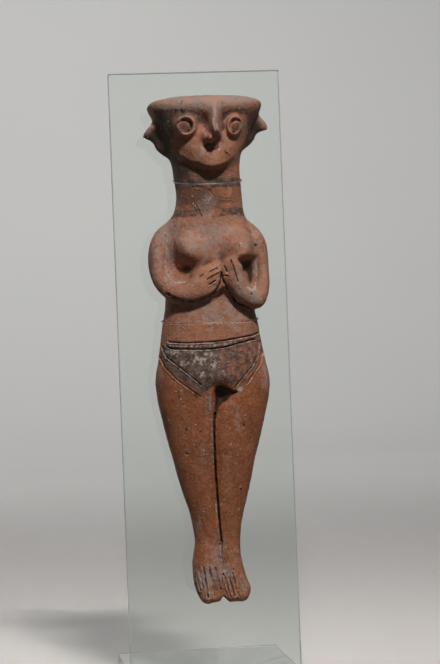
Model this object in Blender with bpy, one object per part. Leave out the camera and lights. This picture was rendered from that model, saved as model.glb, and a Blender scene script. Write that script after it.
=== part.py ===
"""A flat-headed terracotta figurine, tied upright to a clear sheet that stands on a clear foot plate.

Metres, +Z up. The figurine faces -Y, and the origin is the middle of the foot plate's underside.
The figurine is worked in millimetres above its toes and scaled to FIGURE_HEIGHT at the end, so its
pose and carving are shares of its own height. The sheet, the plate and the ties have sizes of their own.
"""
import math
from dataclasses import astuple, dataclass

import bmesh
import bpy
import numpy as np
from mathutils import Matrix, Vector
from mathutils.bvhtree import BVHTree

# Figurine
FIGURE_HEIGHT = 0.2075
FIGURE_TRIANGLES = 8600
HEAD_TURN = math.radians(4.0)
RING_SIDES = 40
SQUARENESS = 0.88
VOXEL = 0.7

# Clear sheet and foot plate
SHEET_WIDTH = 0.072
SHEET_THICKNESS = 0.004
SHEET_ABOVE_HEAD = 0.013
FOOT_DEPTH = 0.152
FOOT_THICKNESS = 0.0045
TOE_CLEARANCE = 0.032
EDGE_BEVEL = 0.0003
SEAT_GAP = 0.0003
FIGURE_SIDE_SHIFT = 0.0013

# Ties
TIE_DIAMETER = 0.0005
TIE_HOLE_DIAMETER = 0.0016
TIE_CLEARANCE = 0.0002
TIE_WRAP_RAYS = 60


@dataclass(frozen=True)
class Level:
    """One level cut through the body: its height, two half widths, and its reach forward and back."""

    z: float
    left: float
    right: float
    front: float
    back: float


@dataclass(frozen=True)
class Cut:
    """One cut across a limb: its middle, and its half sizes across the picture and front to back."""

    x: float
    y: float
    z: float
    wide: float
    deep: float


@dataclass(frozen=True)
class Stroke:
    """One line pressed into the clay: its points as seen from the front, its half width and depth."""

    points: tuple
    wide: float
    deep: float
    ridge: float = 0.0


@dataclass(frozen=True)
class Lump:
    """One ellipsoid of clay: its middle and its three radii."""

    x: float
    y: float
    z: float
    wide: float
    deep: float
    high: float


@dataclass(frozen=True)
class Hollow:
    """One round hollow pressed into the clay: its middle, radius and depth."""

    x: float
    y: float
    z: float
    radius: float
    deep: float


@dataclass(frozen=True)
class Eye:
    """One applied ring eye: its middle as seen from the front, and the two radii of its outer edge."""

    x: float
    z: float
    wide: float
    high: float


@dataclass(frozen=True)
class Tie:
    """One tie: its height at the front, its rise to the sheet's holes, and half the gap between them."""

    front_z: float
    rise: float
    hole_x: float


# Legs, hips, waist, chest and neck, from the ankles up
TRUNK = (
    Level(21, 9.4, 7.8, 6.0, 6.5),
    Level(27, 10.3, 8.7, 6.6, 7.4),
    Level(36, 11.5, 10.0, 7.6, 9.2),
    Level(47, 14.7, 13.0, 9.0, 11.0),
    Level(60, 18.0, 16.2, 10.6, 12.0),
    Level(74, 21.3, 20.0, 12.0, 13.0),
    Level(90, 24.0, 23.4, 12.8, 14.6),
    Level(102, 22.4, 21.4, 12.6, 13.6),
    Level(114, 20.5, 19.6, 11.6, 11.2),
    Level(124, 18.8, 18.0, 11.2, 11.0),
    Level(136, 18.0, 19.2, 10.8, 12.0),
    Level(148, 17.8, 18.0, 12.0, 12.6),
    Level(156, 17.6, 16.8, 11.4, 12.6),
    Level(161, 13.8, 15.2, 11.4, 12.6),
    Level(168, 12.4, 14.8, 11.6, 12.8),
    Level(178, 13.3, 14.2, 12.2, 13.0),
    Level(186, 14.6, 15.0, 11.6, 13.4),
)

# The skull, from the nape up to the flared rim; its own middle is the neck's axis
SKULL = (
    Level(180, 12.6, 12.6, 9.5, 12.6),
    Level(187, 16.0, 16.0, 11.5, 13.6),
    Level(194, 19.0, 19.4, 13.4, 14.6),
    Level(199.6, 20.8, 21.6, 15.2, 15.2),
    Level(203.6, 22.2, 23.6, 18.0, 15.6),
    Level(206.6, 23.4, 24.9, 17.0, 15.6),
    Level(208.5, 22.6, 24.0, 14.4, 14.0),
)
CROWN_FALL = 0.085
CROWN_SIDE_FALL = 0.001

# The face below the brow, from the chin up
FACE = (
    Level(177.9, 2.6, 5.0, 16.0, -6.0),
    Level(179.4, 6.2, 7.8, 17.6, -4.0),
    Level(182.8, 11.4, 12.2, 17.8, -2.0),
    Level(187.6, 15.2, 15.6, 17.0, 0.0),
    Level(193, 17.2, 17.6, 15.4, 2.0),
    Level(199, 18.4, 18.8, 14.4, 4.0),
    Level(203, 18.4, 18.8, 14.8, 4.0),
)

NOSE = (
    Cut(0.0, -14.0, 202.2, 2.6, 3.4),
    Cut(0.0, -15.8, 198.8, 1.4, 3.4),
    Cut(0.0, -18.2, 195.2, 1.5, 3.8),
    Cut(0.0, -20.0, 192.4, 1.8, 3.6),
    Cut(-0.3, -17.8, 190.0, 3.1, 2.2),
    Cut(-0.5, -16.2, 188.9, 2.8, 1.4),
)
NOSE_WINGS = (
    Lump(-2.7, -16.2, 191.6, 1.9, 2.6, 2.4),
    Lump(2.9, -16.2, 191.6, 1.9, 2.6, 2.4),
)
BROW_WEDGE = (
    Cut(0.0, -15.0, 206.0, 9.6, 3.2),
    Cut(0.0, -15.6, 202.8, 5.6, 3.0),
    Cut(0.0, -15.2, 199.6, 1.8, 3.0),
)

LEFT_ARM = (
    Cut(-14.0, 1.5, 153.8, 5.0, 6.5),
    Cut(-18.0, 0.8, 150.9, 4.8, 6.6),
    Cut(-20.6, -0.2, 146.0, 4.3, 6.2),
    Cut(-21.5, -2.0, 139.5, 3.7, 5.6),
    Cut(-20.2, -5.0, 133.6, 3.8, 5.0),
    Cut(-16.4, -8.8, 129.1, 4.0, 4.4),
    Cut(-11.8, -11.2, 127.9, 4.2, 4.0),
    Cut(-6.4, -12.6, 129.6, 5.3, 3.8),
    Cut(-2.2, -13.2, 132.4, 6.2, 3.6),
    Cut(1.2, -13.4, 134.6, 5.4, 3.2),
    Cut(3.2, -13.4, 136.0, 2.8, 2.4),
)
RIGHT_ARM = (
    Cut(13.6, 1.5, 153.8, 5.0, 6.5),
    Cut(18.0, 0.6, 151.0, 4.6, 6.4),
    Cut(20.8, -0.4, 145.6, 3.8, 6.0),
    Cut(21.5, -2.2, 137.6, 3.1, 5.4),
    Cut(20.8, -5.2, 130.0, 3.3, 5.0),
    Cut(17.9, -8.4, 124.6, 4.0, 4.6),
    Cut(14.2, -11.0, 126.0, 4.3, 4.2),
    Cut(10.6, -12.8, 129.6, 4.6, 3.8),
    Cut(8.2, -13.6, 134.4, 4.6, 3.6),
    Cut(7.6, -14.2, 138.6, 4.5, 3.2),
    Cut(7.2, -14.2, 141.4, 2.9, 2.6),
)

# Feet hang, toes down and forward, as tilted cuts from the ankle to the toes
LEFT_FOOT = (
    Cut(-5.2, 0.4, 27.0, 4.8, 6.4),
    Cut(-6.0, -0.8, 18.6, 5.8, 7.4),
    Cut(-6.6, -3.6, 11.6, 5.6, 6.4),
    Cut(-6.0, -6.4, 6.2, 5.0, 4.8),
    Cut(-5.0, -8.8, 2.5, 3.9, 3.0),
)
RIGHT_FOOT = (
    Cut(4.0, 0.4, 27.0, 4.4, 6.4),
    Cut(3.8, -0.8, 18.6, 4.8, 7.4),
    Cut(4.6, -3.6, 11.6, 5.4, 6.4),
    Cut(5.4, -6.4, 6.2, 6.0, 4.8),
    Cut(5.2, -8.8, 2.7, 4.7, 3.0),
)

LEFT_EAR = (
    Cut(-11.0, 1.6, 190.6, 8.4, 3.6),
    Cut(-15.4, 1.4, 192.0, 7.2, 3.6),
    Cut(-19.6, 1.0, 194.0, 5.2, 3.4),
    Cut(-22.8, 0.4, 193.6, 3.3, 2.4),
    Cut(-26.0, 0.0, 192.9, 0.7, 0.9),
)
RIGHT_EAR = (
    Cut(12.0, 1.6, 192.2, 7.4, 3.6),
    Cut(16.0, 1.4, 193.8, 6.6, 3.6),
    Cut(20.2, 1.0, 196.6, 5.0, 3.4),
    Cut(24.2, 0.4, 196.5, 3.5, 2.4),
    Cut(27.5, 0.0, 194.5, 0.7, 0.9),
)

BREASTS = (
    Lump(-8.6, -7.8, 146.0, 6.8, 6.6, 8.2),
    Lump(10.6, -7.8, 147.2, 7.4, 6.6, 7.8),
)
BREAST_TILT = math.radians(38.0)
BODY_LUMPS = (
    Lump(0.8, -5.6, 150.5, 13.0, 6.4, 6.5),
    Lump(-10.6, 5.6, 92.0, 10.6, 9.4, 12.0),
    Lump(10.2, 5.6, 92.0, 10.6, 9.4, 12.0),
    Lump(1.0, -5.6, 94.0, 11.5, 8.6, 6.6),
)

# Eyes: a ring and a pellet on a swelling of the face
EYES = (
    Eye(-10.4, 195.4, 4.4, 4.4),
    Eye(10.2, 194.9, 3.9, 4.3),
)
EYE_FACE_Y = -13.4
EYE_SWELLING = 4.2
EYE_SWELLING_SET_BACK = 2.0
EYE_SWELLING_MARGIN = 0.6
EYE_RING_WIDE = 0.75
EYE_RING_HIGH = 1.2
EYE_PELLET = 0.55
EYE_PELLET_HIGH = 0.5
EYE_MOAT_WIDE = 0.5
EYE_MOAT_DEEP = 0.6

# Strokes of the stylus, seen from the front
GIRDLE = (
    Stroke(((-18.4, 108.3), (-11.5, 107.6), (-1.5, 107.8), (8.5, 108.6), (15.5, 109.7), (20.5, 111.0)),
           0.5, 1.0, 0.3),
    Stroke(((-16.8, 105.4), (-6.5, 104.9), (3.6, 105.3), (9.0, 106.6), (12.4, 107.3), (17.6, 108.2)),
           0.5, 0.9, 0.3),
)
TRIANGLE = (
    Stroke(((-20.6, 104.8), (-19.6, 102.3), (-17.3, 99.8), (-11.4, 94.8), (-6.4, 90.2)), 0.5, 0.9, 0.3),
    Stroke(((-22.0, 101.3), (-20.6, 98.3), (-16.2, 92.8), (-11.4, 88.8), (-6.9, 85.4)), 0.5, 0.9, 0.3),
    Stroke(((19.3, 105.6), (17.8, 100.8), (14.8, 96.8), (10.7, 92.4), (7.1, 88.4)), 0.5, 0.9, 0.3),
    Stroke(((20.8, 101.8), (18.8, 98.3), (15.7, 94.3), (12.5, 90.2)), 0.5, 0.9, 0.3),
)
LEG_SLIT = Stroke(((2.4, 88.0), (0.6, 82.0), (-0.8, 78.0), (-1.4, 68.0), (-1.4, 46.0), (-0.6, 28.0),
                   (-0.3, 24.0)), 0.6, 2.8)
LEG_SLIT_HOLLOW = Stroke(LEG_SLIT.points, 2.4, 1.0)
BACK_SLIT = Stroke(((0.0, 97.0), (-0.4, 80.0), (-0.8, 55.0), (-0.4, 28.0)), 1.0, 2.4)
SPINE = Stroke(((0.0, 150.0), (0.0, 112.0)), 2.6, 0.7)
LEFT_FINGERS = (
    Stroke(((-2.2, 136.6), (1.6, 138.0)), 0.4, 0.7),
    Stroke(((-2.6, 133.6), (2.2, 136.2)), 0.4, 0.8),
    Stroke(((-2.2, 131.4), (0.6, 132.9)), 0.4, 0.7),
)
RIGHT_FINGERS = (
    Stroke(((7.4, 141.0), (8.6, 138.2), (9.2, 135.2), (10.8, 131.4)), 0.4, 0.8),
    Stroke(((4.6, 138.6), (5.4, 136.2)), 0.4, 0.7),
)
CREASES = (
    Stroke(((-17.6, 126.4), (-14.0, 124.6), (-9.6, 123.4), (-6.4, 123.6), (-1.8, 125.4), (1.2, 128.2),
            (2.9, 131.6)), 0.6, 1.2),
    Stroke(((3.1, 136.0), (4.6, 130.8), (7.2, 127.2), (8.4, 124.3), (10.6, 123.0), (14.0, 121.6),
            (16.6, 120.2)), 0.6, 1.2),
    Stroke(((19.2, 142.8), (18.6, 137.0), (17.6, 131.4), (16.8, 129.0)), 0.6, 0.7),
    Stroke(((-17.4, 147.0), (-18.2, 143.0), (-18.2, 139.0), (-17.4, 136.0), (-15.6, 133.2)), 0.6, 0.7),
)
TOES = (
    Stroke(((-10.0, 12.0), (-9.4, 7.6)), 0.45, 0.5),
    Stroke(((-7.9, 15.0), (-8.2, 11.0), (-7.2, 5.4)), 0.45, 0.6),
    Stroke(((-5.4, 15.0), (-4.2, 9.0), (-2.4, 5.0)), 0.45, 0.6),
    Stroke(((-2.4, 15.0), (-1.6, 8.0), (-1.2, 3.0)), 0.45, 0.6),
    Stroke(((2.1, 12.0), (2.8, 7.0), (3.6, 3.0)), 0.45, 0.6),
    Stroke(((4.1, 12.0), (4.8, 7.5), (5.8, 2.6)), 0.45, 0.6),
    Stroke(((5.4, 9.0), (6.8, 4.0)), 0.45, 0.5),
)
HEAD_HOLLOWS = (
    Hollow(-20.6, -2.4, 192.0, 3.2, 1.8),
    Hollow(22.0, -2.4, 194.4, 2.6, 1.6),
    Hollow(-1.7, -17.4, 188.4, 1.2, 1.4),
    Hollow(1.7, -18.8, 190.4, 1.4, 2.0),
)
BODY_HOLLOWS = (
    Hollow(1.4, -13.0, 86.0, 3.6, 2.6),
)

TIES = {
    "neck_tie": Tie(172.3, 4.8, 8.5),
    "waist_tie": Tie(115.9, 3.0, 14.0),
}

MATERIALS = {
    "figurine": ((0.50, 0.245, 0.150, 1.0), 0.85, 1.0),
    "back_sheet": ((0.93, 0.96, 0.95, 0.18), 0.05, 0.18),
    "foot_plate": ((0.93, 0.96, 0.95, 0.25), 0.05, 0.25),
    "neck_tie": ((0.82, 0.82, 0.78, 1.0), 0.3, 1.0),
    "waist_tie": ((0.82, 0.82, 0.78, 1.0), 0.3, 1.0),
}


def clear_scene():
    """Take every object out of the scene."""
    for thing in list(bpy.data.objects):
        bpy.data.objects.remove(thing, do_unlink=True)


def finish_object(name, mesh, smooth):
    """Make the named object, give it its material and shading, and link it."""
    colour, roughness, alpha = MATERIALS[name]
    material = bpy.data.materials.new(name)
    material.use_nodes = True
    shader = material.node_tree.nodes["Principled BSDF"]
    shader.inputs["Base Color"].default_value = colour
    shader.inputs["Roughness"].default_value = roughness
    shader.inputs["Metallic"].default_value = 0.0
    shader.inputs["Alpha"].default_value = alpha
    mesh.materials.clear()
    mesh.materials.append(material)
    for face in mesh.polygons:
        face.use_smooth = smooth
        face.material_index = 0
    thing = bpy.data.objects.new(name, mesh)
    bpy.context.scene.collection.objects.link(thing)
    return thing


def smooth_rows(rows, count):
    """Evenly spaced rows on a smooth curve that passes through every given row."""
    keys = np.array([astuple(row) for row in rows], float)
    slopes = np.gradient(keys, axis=0)
    along = np.linspace(0, len(keys) - 1, count)
    first = np.minimum(along.astype(int), len(keys) - 2)
    u = (along - first)[:, None]
    start, end = keys[first], keys[first + 1]
    leave, arrive = slopes[first], slopes[first + 1]
    return ((2 * u**3 - 3 * u**2 + 1) * start + (u**3 - 2 * u**2 + u) * leave
            + (3 * u**2 - 2 * u**3) * end + (u**3 - u**2) * arrive)


def rounded(value):
    """A circle's sine or cosine, pushed out a little towards a square."""
    return math.copysign(abs(value) ** SQUARENESS, value)


def unit_ring(bm, sides):
    """A ring of vertices round the origin, in order of their angle."""
    ring = bmesh.ops.create_circle(bm, segments=sides, radius=1.0)["verts"]
    return sorted(ring, key=lambda vertex: math.atan2(vertex.co.y, vertex.co.x))


def skin(bm, rings):
    """Join each ring of vertices to the next and close both ends."""
    loops = []
    for ring in rings:
        loops.append([bm.edges.get((ring[i - 1], ring[i])) for i in range(len(ring))])
    for below, above in zip(loops, loops[1:]):
        bmesh.ops.bridge_loops(bm, edges=below + above)
    for ring in (rings[0], rings[-1]):
        bm.faces.new(ring)


def level_loft(bm, levels, count, place=None):
    """Loft a body through level cuts, moving each vertex by place if one is given."""
    rings = []
    for z, left, right, front, back in smooth_rows(levels, count):
        ring = unit_ring(bm, RING_SIDES)
        for vertex in ring:
            across, along = rounded(vertex.co.x), rounded(vertex.co.y)
            x = across * (right if across > 0 else left)
            y = along * (back if along > 0 else front)
            vertex.co = place(Vector((x, y, z))) if place else Vector((x, y, z))
        rings.append(ring)
    skin(bm, rings)


def limb_loft(bm, cuts, count, place=None):
    """Loft a limb through cuts square to its own run, wide across the picture and deep along Y."""
    rows = smooth_rows(cuts, count)
    middles = [Vector(row[:3]) for row in rows]
    rings = []
    for i, row in enumerate(rows):
        run = (middles[min(i + 1, count - 1)] - middles[max(i - 1, 0)]).normalized()
        depth = (Vector((0, 1, 0)) - run * run.y).normalized()
        width = run.cross(depth)
        ring = unit_ring(bm, RING_SIDES // 2)
        for vertex in ring:
            offset = width * (vertex.co.x * row[3]) + depth * (vertex.co.y * row[4])
            vertex.co = place(middles[i] + offset) if place else middles[i] + offset
        rings.append(ring)
    skin(bm, rings)


def ball(bm, lump, tilt=0.0, place=None):
    """Add an ellipsoid, tilted about X."""
    x, y, z, wide, deep, high = astuple(lump)
    placed = Matrix.Translation((x, y, z)) @ Matrix.Rotation(tilt, 4, "X")
    matrix = placed @ Matrix.Diagonal((wide, deep, high, 1.0))
    sphere = bmesh.ops.create_uvsphere(bm, u_segments=RING_SIDES, v_segments=RING_SIDES // 2, radius=1.0)
    added = sphere["verts"]
    bmesh.ops.transform(bm, matrix=matrix, verts=added)
    if place:
        for vertex in added:
            vertex.co = place(vertex.co)


def turned(point):
    """A point of the head, turned with it about the neck."""
    return Matrix.Rotation(HEAD_TURN, 3, "Z") @ point


def crown(point):
    """A point of the skull: turned, with the flat crown falling towards the back and the sides."""
    fall = max(0.0, min(1.0, (point.z - 198.0) / 8.0))
    drop = fall * (CROWN_FALL * max(0.0, point.y + 15.0) + CROWN_SIDE_FALL * point.x**2)
    return turned(Vector((point.x, point.y, point.z - drop)))


def rough_masses():
    """The figurine as overlapping closed masses."""
    bm = bmesh.new()
    level_loft(bm, TRUNK, 90)
    level_loft(bm, SKULL, 26, crown)
    level_loft(bm, FACE, 22, turned)
    limb_loft(bm, NOSE, 16, turned)
    limb_loft(bm, BROW_WEDGE, 10, turned)
    for arm in (LEFT_ARM, RIGHT_ARM):
        limb_loft(bm, arm, 54)
    for foot in (LEFT_FOOT, RIGHT_FOOT):
        limb_loft(bm, foot, 22)
    for wing in NOSE_WINGS:
        ball(bm, wing, 0.0, turned)
    for ear in (LEFT_EAR, RIGHT_EAR):
        limb_loft(bm, ear, 14, turned)
    for breast in BREASTS:
        ball(bm, breast, BREAST_TILT)
    for lump in BODY_LUMPS:
        ball(bm, lump)
    for eye in EYES:
        swelling = Lump(eye.x, EYE_FACE_Y + EYE_SWELLING_SET_BACK, eye.z, eye.wide + EYE_SWELLING_MARGIN,
                        EYE_SWELLING, eye.high + EYE_SWELLING_MARGIN)
        ball(bm, swelling, 0.0, turned)
    bmesh.ops.recalc_face_normals(bm, faces=bm.faces)
    mesh = bpy.data.meshes.new("masses")
    bm.to_mesh(mesh)
    bm.free()
    return mesh


def with_modifiers(mesh, settings):
    """The mesh after the given modifiers, as (type, values) pairs, have been worked out."""
    thing = bpy.data.objects.new("worked", mesh)
    bpy.context.scene.collection.objects.link(thing)
    for kind, values in settings:
        modifier = thing.modifiers.new(kind.title(), kind)
        for key, value in values.items():
            setattr(modifier, key, value)
    graph = bpy.context.evaluated_depsgraph_get()
    graph.update()
    result = bpy.data.meshes.new_from_object(thing.evaluated_get(graph))
    bpy.data.objects.remove(thing, do_unlink=True)
    return result


def stroke_distance(points, stroke):
    """How far each point lies from the stroke, as seen from the front."""
    flat = points[:, (0, 2)]
    nearest = np.full(len(points), 1e6)
    for start, end in zip(stroke.points, stroke.points[1:]):
        a, run = np.array(start), np.array(end) - np.array(start)
        share = np.clip(((flat - a) @ run) / (run @ run), 0.0, 1.0)
        nearest = np.minimum(nearest, np.linalg.norm(flat - a - share[:, None] * run, axis=1))
    return nearest


def pressed(points, normals, strokes, side):
    """Move points in along their normals under each stroke; side is -1 on the front and 1 on the back."""
    facing = np.clip(side * normals[:, 1] * 4.0, 0.0, 1.0)
    for stroke in strokes:
        away = stroke_distance(points, stroke)
        depth = stroke.deep * np.exp(-((away / stroke.wide) ** 2))
        depth -= stroke.ridge * np.exp(-(((away - 2.1 * stroke.wide) / stroke.wide) ** 2))
        points = points - normals * (depth * facing)[:, None]
    return points


def eyes_raised(points, normals):
    """Raise a ring and a pellet on each eye."""
    front = normals[:, 1] < 0
    for eye in EYES:
        middle = turned(Vector((eye.x, EYE_FACE_Y, eye.z)))
        reach = np.hypot((points[:, 0] - middle.x) / eye.wide, (points[:, 2] - middle.z) / eye.high)
        near = front & (reach < 1.6) & (points[:, 1] < EYE_FACE_Y / 2)
        ring_at = 1.0 - EYE_RING_WIDE / eye.wide
        moat_at = EYE_PELLET + EYE_MOAT_WIDE / eye.wide
        ring = EYE_RING_HIGH * np.exp(-(((reach - ring_at) * eye.wide / EYE_RING_WIDE) ** 2))
        pellet = EYE_PELLET_HIGH * np.exp(-((reach / EYE_PELLET) ** 6))
        moat = EYE_MOAT_DEEP * np.exp(-(((reach - moat_at) * eye.wide / EYE_MOAT_WIDE) ** 2))
        points = points + np.array([[0.0, -1.0, 0.0]]) * np.where(near, ring + pellet - moat, 0.0)[:, None]
    return points


def hollowed(points, normals, hollows, place=None):
    """Press round hollows, moving each middle by place if one is given."""
    for hollow in hollows:
        middle = Vector((hollow.x, hollow.y, hollow.z))
        away = np.linalg.norm(points - np.array(place(middle) if place else middle), axis=1)
        points = points - normals * (hollow.deep * np.exp(-((away / hollow.radius) ** 2)))[:, None]
    return points


def refined(mesh, wanted):
    """Cut the faces whose middles pass the wanted test into four."""
    bm = bmesh.new()
    bm.from_mesh(mesh)
    edges = set()
    for face in bm.faces:
        if wanted(face.calc_center_median()):
            edges.update(face.edges)
    bmesh.ops.subdivide_edges(bm, edges=list(edges), cuts=1, use_grid_fill=True)
    bmesh.ops.triangulate(bm, faces=bm.faces)
    bm.to_mesh(mesh)
    bm.free()


def detailed(middle):
    """True where the clay holds fine work: the face, the hands, the girdle and triangle, and the feet."""
    front = middle.y < -3.0
    return front and (middle.z > 177 or 127 < middle.z < 143 or 84 < middle.z < 113 or middle.z < 18)


def read_mesh(mesh):
    """The mesh's points and vertex normals as arrays."""
    points = np.empty(len(mesh.vertices) * 3)
    normals = np.empty(len(mesh.vertices) * 3)
    mesh.vertices.foreach_get("co", points)
    mesh.vertices.foreach_get("normal", normals)
    return points.reshape(-1, 3), normals.reshape(-1, 3)


def make_figurine(sheet_face_y, toe_z):
    """Model the figurine and set its back against the sheet and its toes at the given height."""
    mesh = with_modifiers(rough_masses(), (
        ("REMESH", {"mode": "VOXEL", "voxel_size": VOXEL}),
        ("SMOOTH", {"factor": 0.5, "iterations": 3}),
    ))
    refined(mesh, detailed)
    points, normals = read_mesh(mesh)
    points = eyes_raised(points, normals)
    front_strokes = (*GIRDLE, *TRIANGLE, LEG_SLIT_HOLLOW, LEG_SLIT, *CREASES,
                     *LEFT_FINGERS, *RIGHT_FINGERS, *TOES)
    points = pressed(points, normals, front_strokes, -1)
    points = pressed(points, normals, (BACK_SLIT, SPINE), 1)
    points = hollowed(points, normals, HEAD_HOLLOWS, turned)
    points = hollowed(points, normals, BODY_HOLLOWS)
    unit = FIGURE_HEIGHT / np.ptp(points[:, 2])
    points = points * unit
    points[:, 0] += FIGURE_SIDE_SHIFT
    points[:, 1] += sheet_face_y - SEAT_GAP - points[:, 1].max()
    lift = toe_z - points[:, 2].min()
    points[:, 2] += lift
    mesh.vertices.foreach_set("co", points.ravel())
    mesh.update()
    share = FIGURE_TRIANGLES / len(mesh.polygons)
    mesh = with_modifiers(mesh, (("DECIMATE", {"ratio": share, "use_collapse_triangulate": True}),))
    return finish_object("figurine", mesh, True), unit, lift


def box_mesh(name, size, middle, bevel):
    """A box with small bevels on every edge."""
    bm = bmesh.new()
    bmesh.ops.create_cube(bm, size=1.0)
    bmesh.ops.transform(bm, matrix=Matrix.Translation(middle) @ Matrix.Diagonal((*size, 1.0)), verts=bm.verts)
    bmesh.ops.bevel(bm, geom=bm.edges[:], offset=bevel, segments=1, affect="EDGES")
    mesh = bpy.data.meshes.new(name)
    bm.to_mesh(mesh)
    bm.free()
    return mesh


def make_sheet(figure_top, holes):
    """Model the clear sheet with its tie holes, each given as (x, z)."""
    bottom = FOOT_THICKNESS + SEAT_GAP
    top = figure_top + SHEET_ABOVE_HEAD
    size = (SHEET_WIDTH, SHEET_THICKNESS, top - bottom)
    mesh = box_mesh("back_sheet", size, Vector((0.0, 0.0, (top + bottom) / 2)), EDGE_BEVEL)
    sheet = finish_object("back_sheet", mesh, False)
    for number, (x, z) in enumerate(holes):
        bm = bmesh.new()
        bmesh.ops.create_cone(bm, cap_ends=True, segments=12, radius1=TIE_HOLE_DIAMETER / 2,
                              radius2=TIE_HOLE_DIAMETER / 2, depth=3 * SHEET_THICKNESS)
        matrix = Matrix.Translation((x, 0.0, z)) @ Matrix.Rotation(math.radians(90), 4, "X")
        bmesh.ops.transform(bm, matrix=matrix, verts=bm.verts)
        drill_mesh = bpy.data.meshes.new(f"drill_{number}")
        bm.to_mesh(drill_mesh)
        bm.free()
        drill = bpy.data.objects.new(f"drill_{number}", drill_mesh)
        bpy.context.scene.collection.objects.link(drill)
        cut = sheet.modifiers.new(f"hole_{number}", "BOOLEAN")
        cut.operation = "DIFFERENCE"
        cut.object = drill
        graph = bpy.context.evaluated_depsgraph_get()
        graph.update()
        cut_mesh = bpy.data.meshes.new_from_object(sheet.evaluated_get(graph))
        sheet.modifiers.clear()
        sheet.data = cut_mesh
        bpy.data.objects.remove(drill, do_unlink=True)
    return sheet


def make_foot():
    """Model the clear foot plate."""
    size = (SHEET_WIDTH, FOOT_DEPTH, FOOT_THICKNESS)
    mesh = box_mesh("foot_plate", size, Vector((0.0, 0.0, FOOT_THICKNESS / 2)), EDGE_BEVEL)
    return finish_object("foot_plate", mesh, False)


def turns_left(a, b, c):
    """True where the run from a through b to c turns to the left."""
    return (b[0] - a[0]) * (c[1] - a[1]) - (b[1] - a[1]) * (c[0] - a[0]) > 0


def pulled_tight(points):
    """The points that a thread pulled tight round them all would touch, in order round them."""
    halves = []
    for ordered in (sorted(points), sorted(points, reverse=True)):
        half = []
        for point in ordered:
            while len(half) > 1 and not turns_left(half[-2], half[-1], point):
                half.pop()
            half.append(point)
        halves += half[:-1]
    return halves


def make_tie(name, figurine, tie, sheet_face_y):
    """Run a thin closed loop round the figurine's front and through two holes of the sheet."""
    radius = TIE_DIAMETER / 2
    tree = BVHTree.FromObject(figurine, bpy.context.evaluated_depsgraph_get())
    toward_back = Vector((0.0, 1.0, 0.0))
    front = tree.ray_cast(Vector((FIGURE_SIDE_SHIFT, sheet_face_y - FOOT_DEPTH, tie.front_z)), toward_back)[0]
    back = Vector((FIGURE_SIDE_SHIFT, sheet_face_y - radius, tie.front_z + tie.rise))
    slope = (back - front).normalized()
    middle = (front + back) / 2
    sideways = Vector((1.0, 0.0, 0.0))
    reach = back - middle
    enters = [(reach.dot(sideways) + side * tie.hole_x, reach.dot(slope)) for side in (-1, 1)]
    touching = list(enters)
    for step in range(TIE_WRAP_RAYS):
        angle = math.tau * step / TIE_WRAP_RAYS
        outward = sideways * math.cos(angle) + slope * math.sin(angle)
        hit = tree.ray_cast(middle + outward * FIGURE_HEIGHT, -outward)[0]
        if hit:
            clear = hit + outward * (radius + TIE_CLEARANCE) - middle
            touching.append((clear.dot(sideways), min(clear.dot(slope), enters[0][1])))
    loop = pulled_tight(touching)
    first = loop.index(enters[0])
    loop = loop[first:] + loop[:first]
    round_front = loop[:loop.index(enters[1]) + 1]
    points = [middle + sideways * u + slope * v for u, v in round_front]
    behind_y = sheet_face_y + SHEET_THICKNESS + radius + TIE_CLEARANCE
    for side in (1, -1):
        points.append(Vector((FIGURE_SIDE_SHIFT + side * tie.hole_x, behind_y, back.z)))
    curve = bpy.data.curves.new(name, "CURVE")
    curve.dimensions = "3D"
    curve.bevel_depth = radius
    curve.bevel_resolution = 1
    spline = curve.splines.new("POLY")
    spline.points.add(len(points) - 1)
    for slot, point in zip(spline.points, points):
        slot.co = (*point, 1.0)
    spline.use_cyclic_u = True
    thing = bpy.data.objects.new(name, curve)
    bpy.context.scene.collection.objects.link(thing)
    graph = bpy.context.evaluated_depsgraph_get()
    graph.update()
    mesh = bpy.data.meshes.new_from_object(thing.evaluated_get(graph))
    bpy.data.objects.remove(thing, do_unlink=True)
    return finish_object(name, mesh, True)


def main():
    """Model every piece in its place."""
    clear_scene()
    sheet_face_y = -SHEET_THICKNESS / 2
    toe_z = FOOT_THICKNESS + TOE_CLEARANCE
    figurine, unit, lift = make_figurine(sheet_face_y, toe_z)
    holes = []
    for name, share in TIES.items():
        tie = Tie(share.front_z * unit + lift, share.rise * unit, share.hole_x * unit)
        make_tie(name, figurine, tie, sheet_face_y)
        holes += [(FIGURE_SIDE_SHIFT + side * tie.hole_x, tie.front_z + tie.rise) for side in (-1, 1)]
    make_sheet(toe_z + FIGURE_HEIGHT, holes)
    make_foot()


main()
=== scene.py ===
"""Fired-clay figurine with hands under the breasts, tied to a clear sheet on a clear foot.

The script carves the fine work into the figurine, gives the clay, its worn paint, the acrylic and
the thread their finishes, and sets a pale studio and a camera round them.
"""

import logging
import math
from dataclasses import dataclass
from enum import Enum

import bmesh
import bpy
import numpy as np
from mathutils import Matrix, Vector, noise

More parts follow.
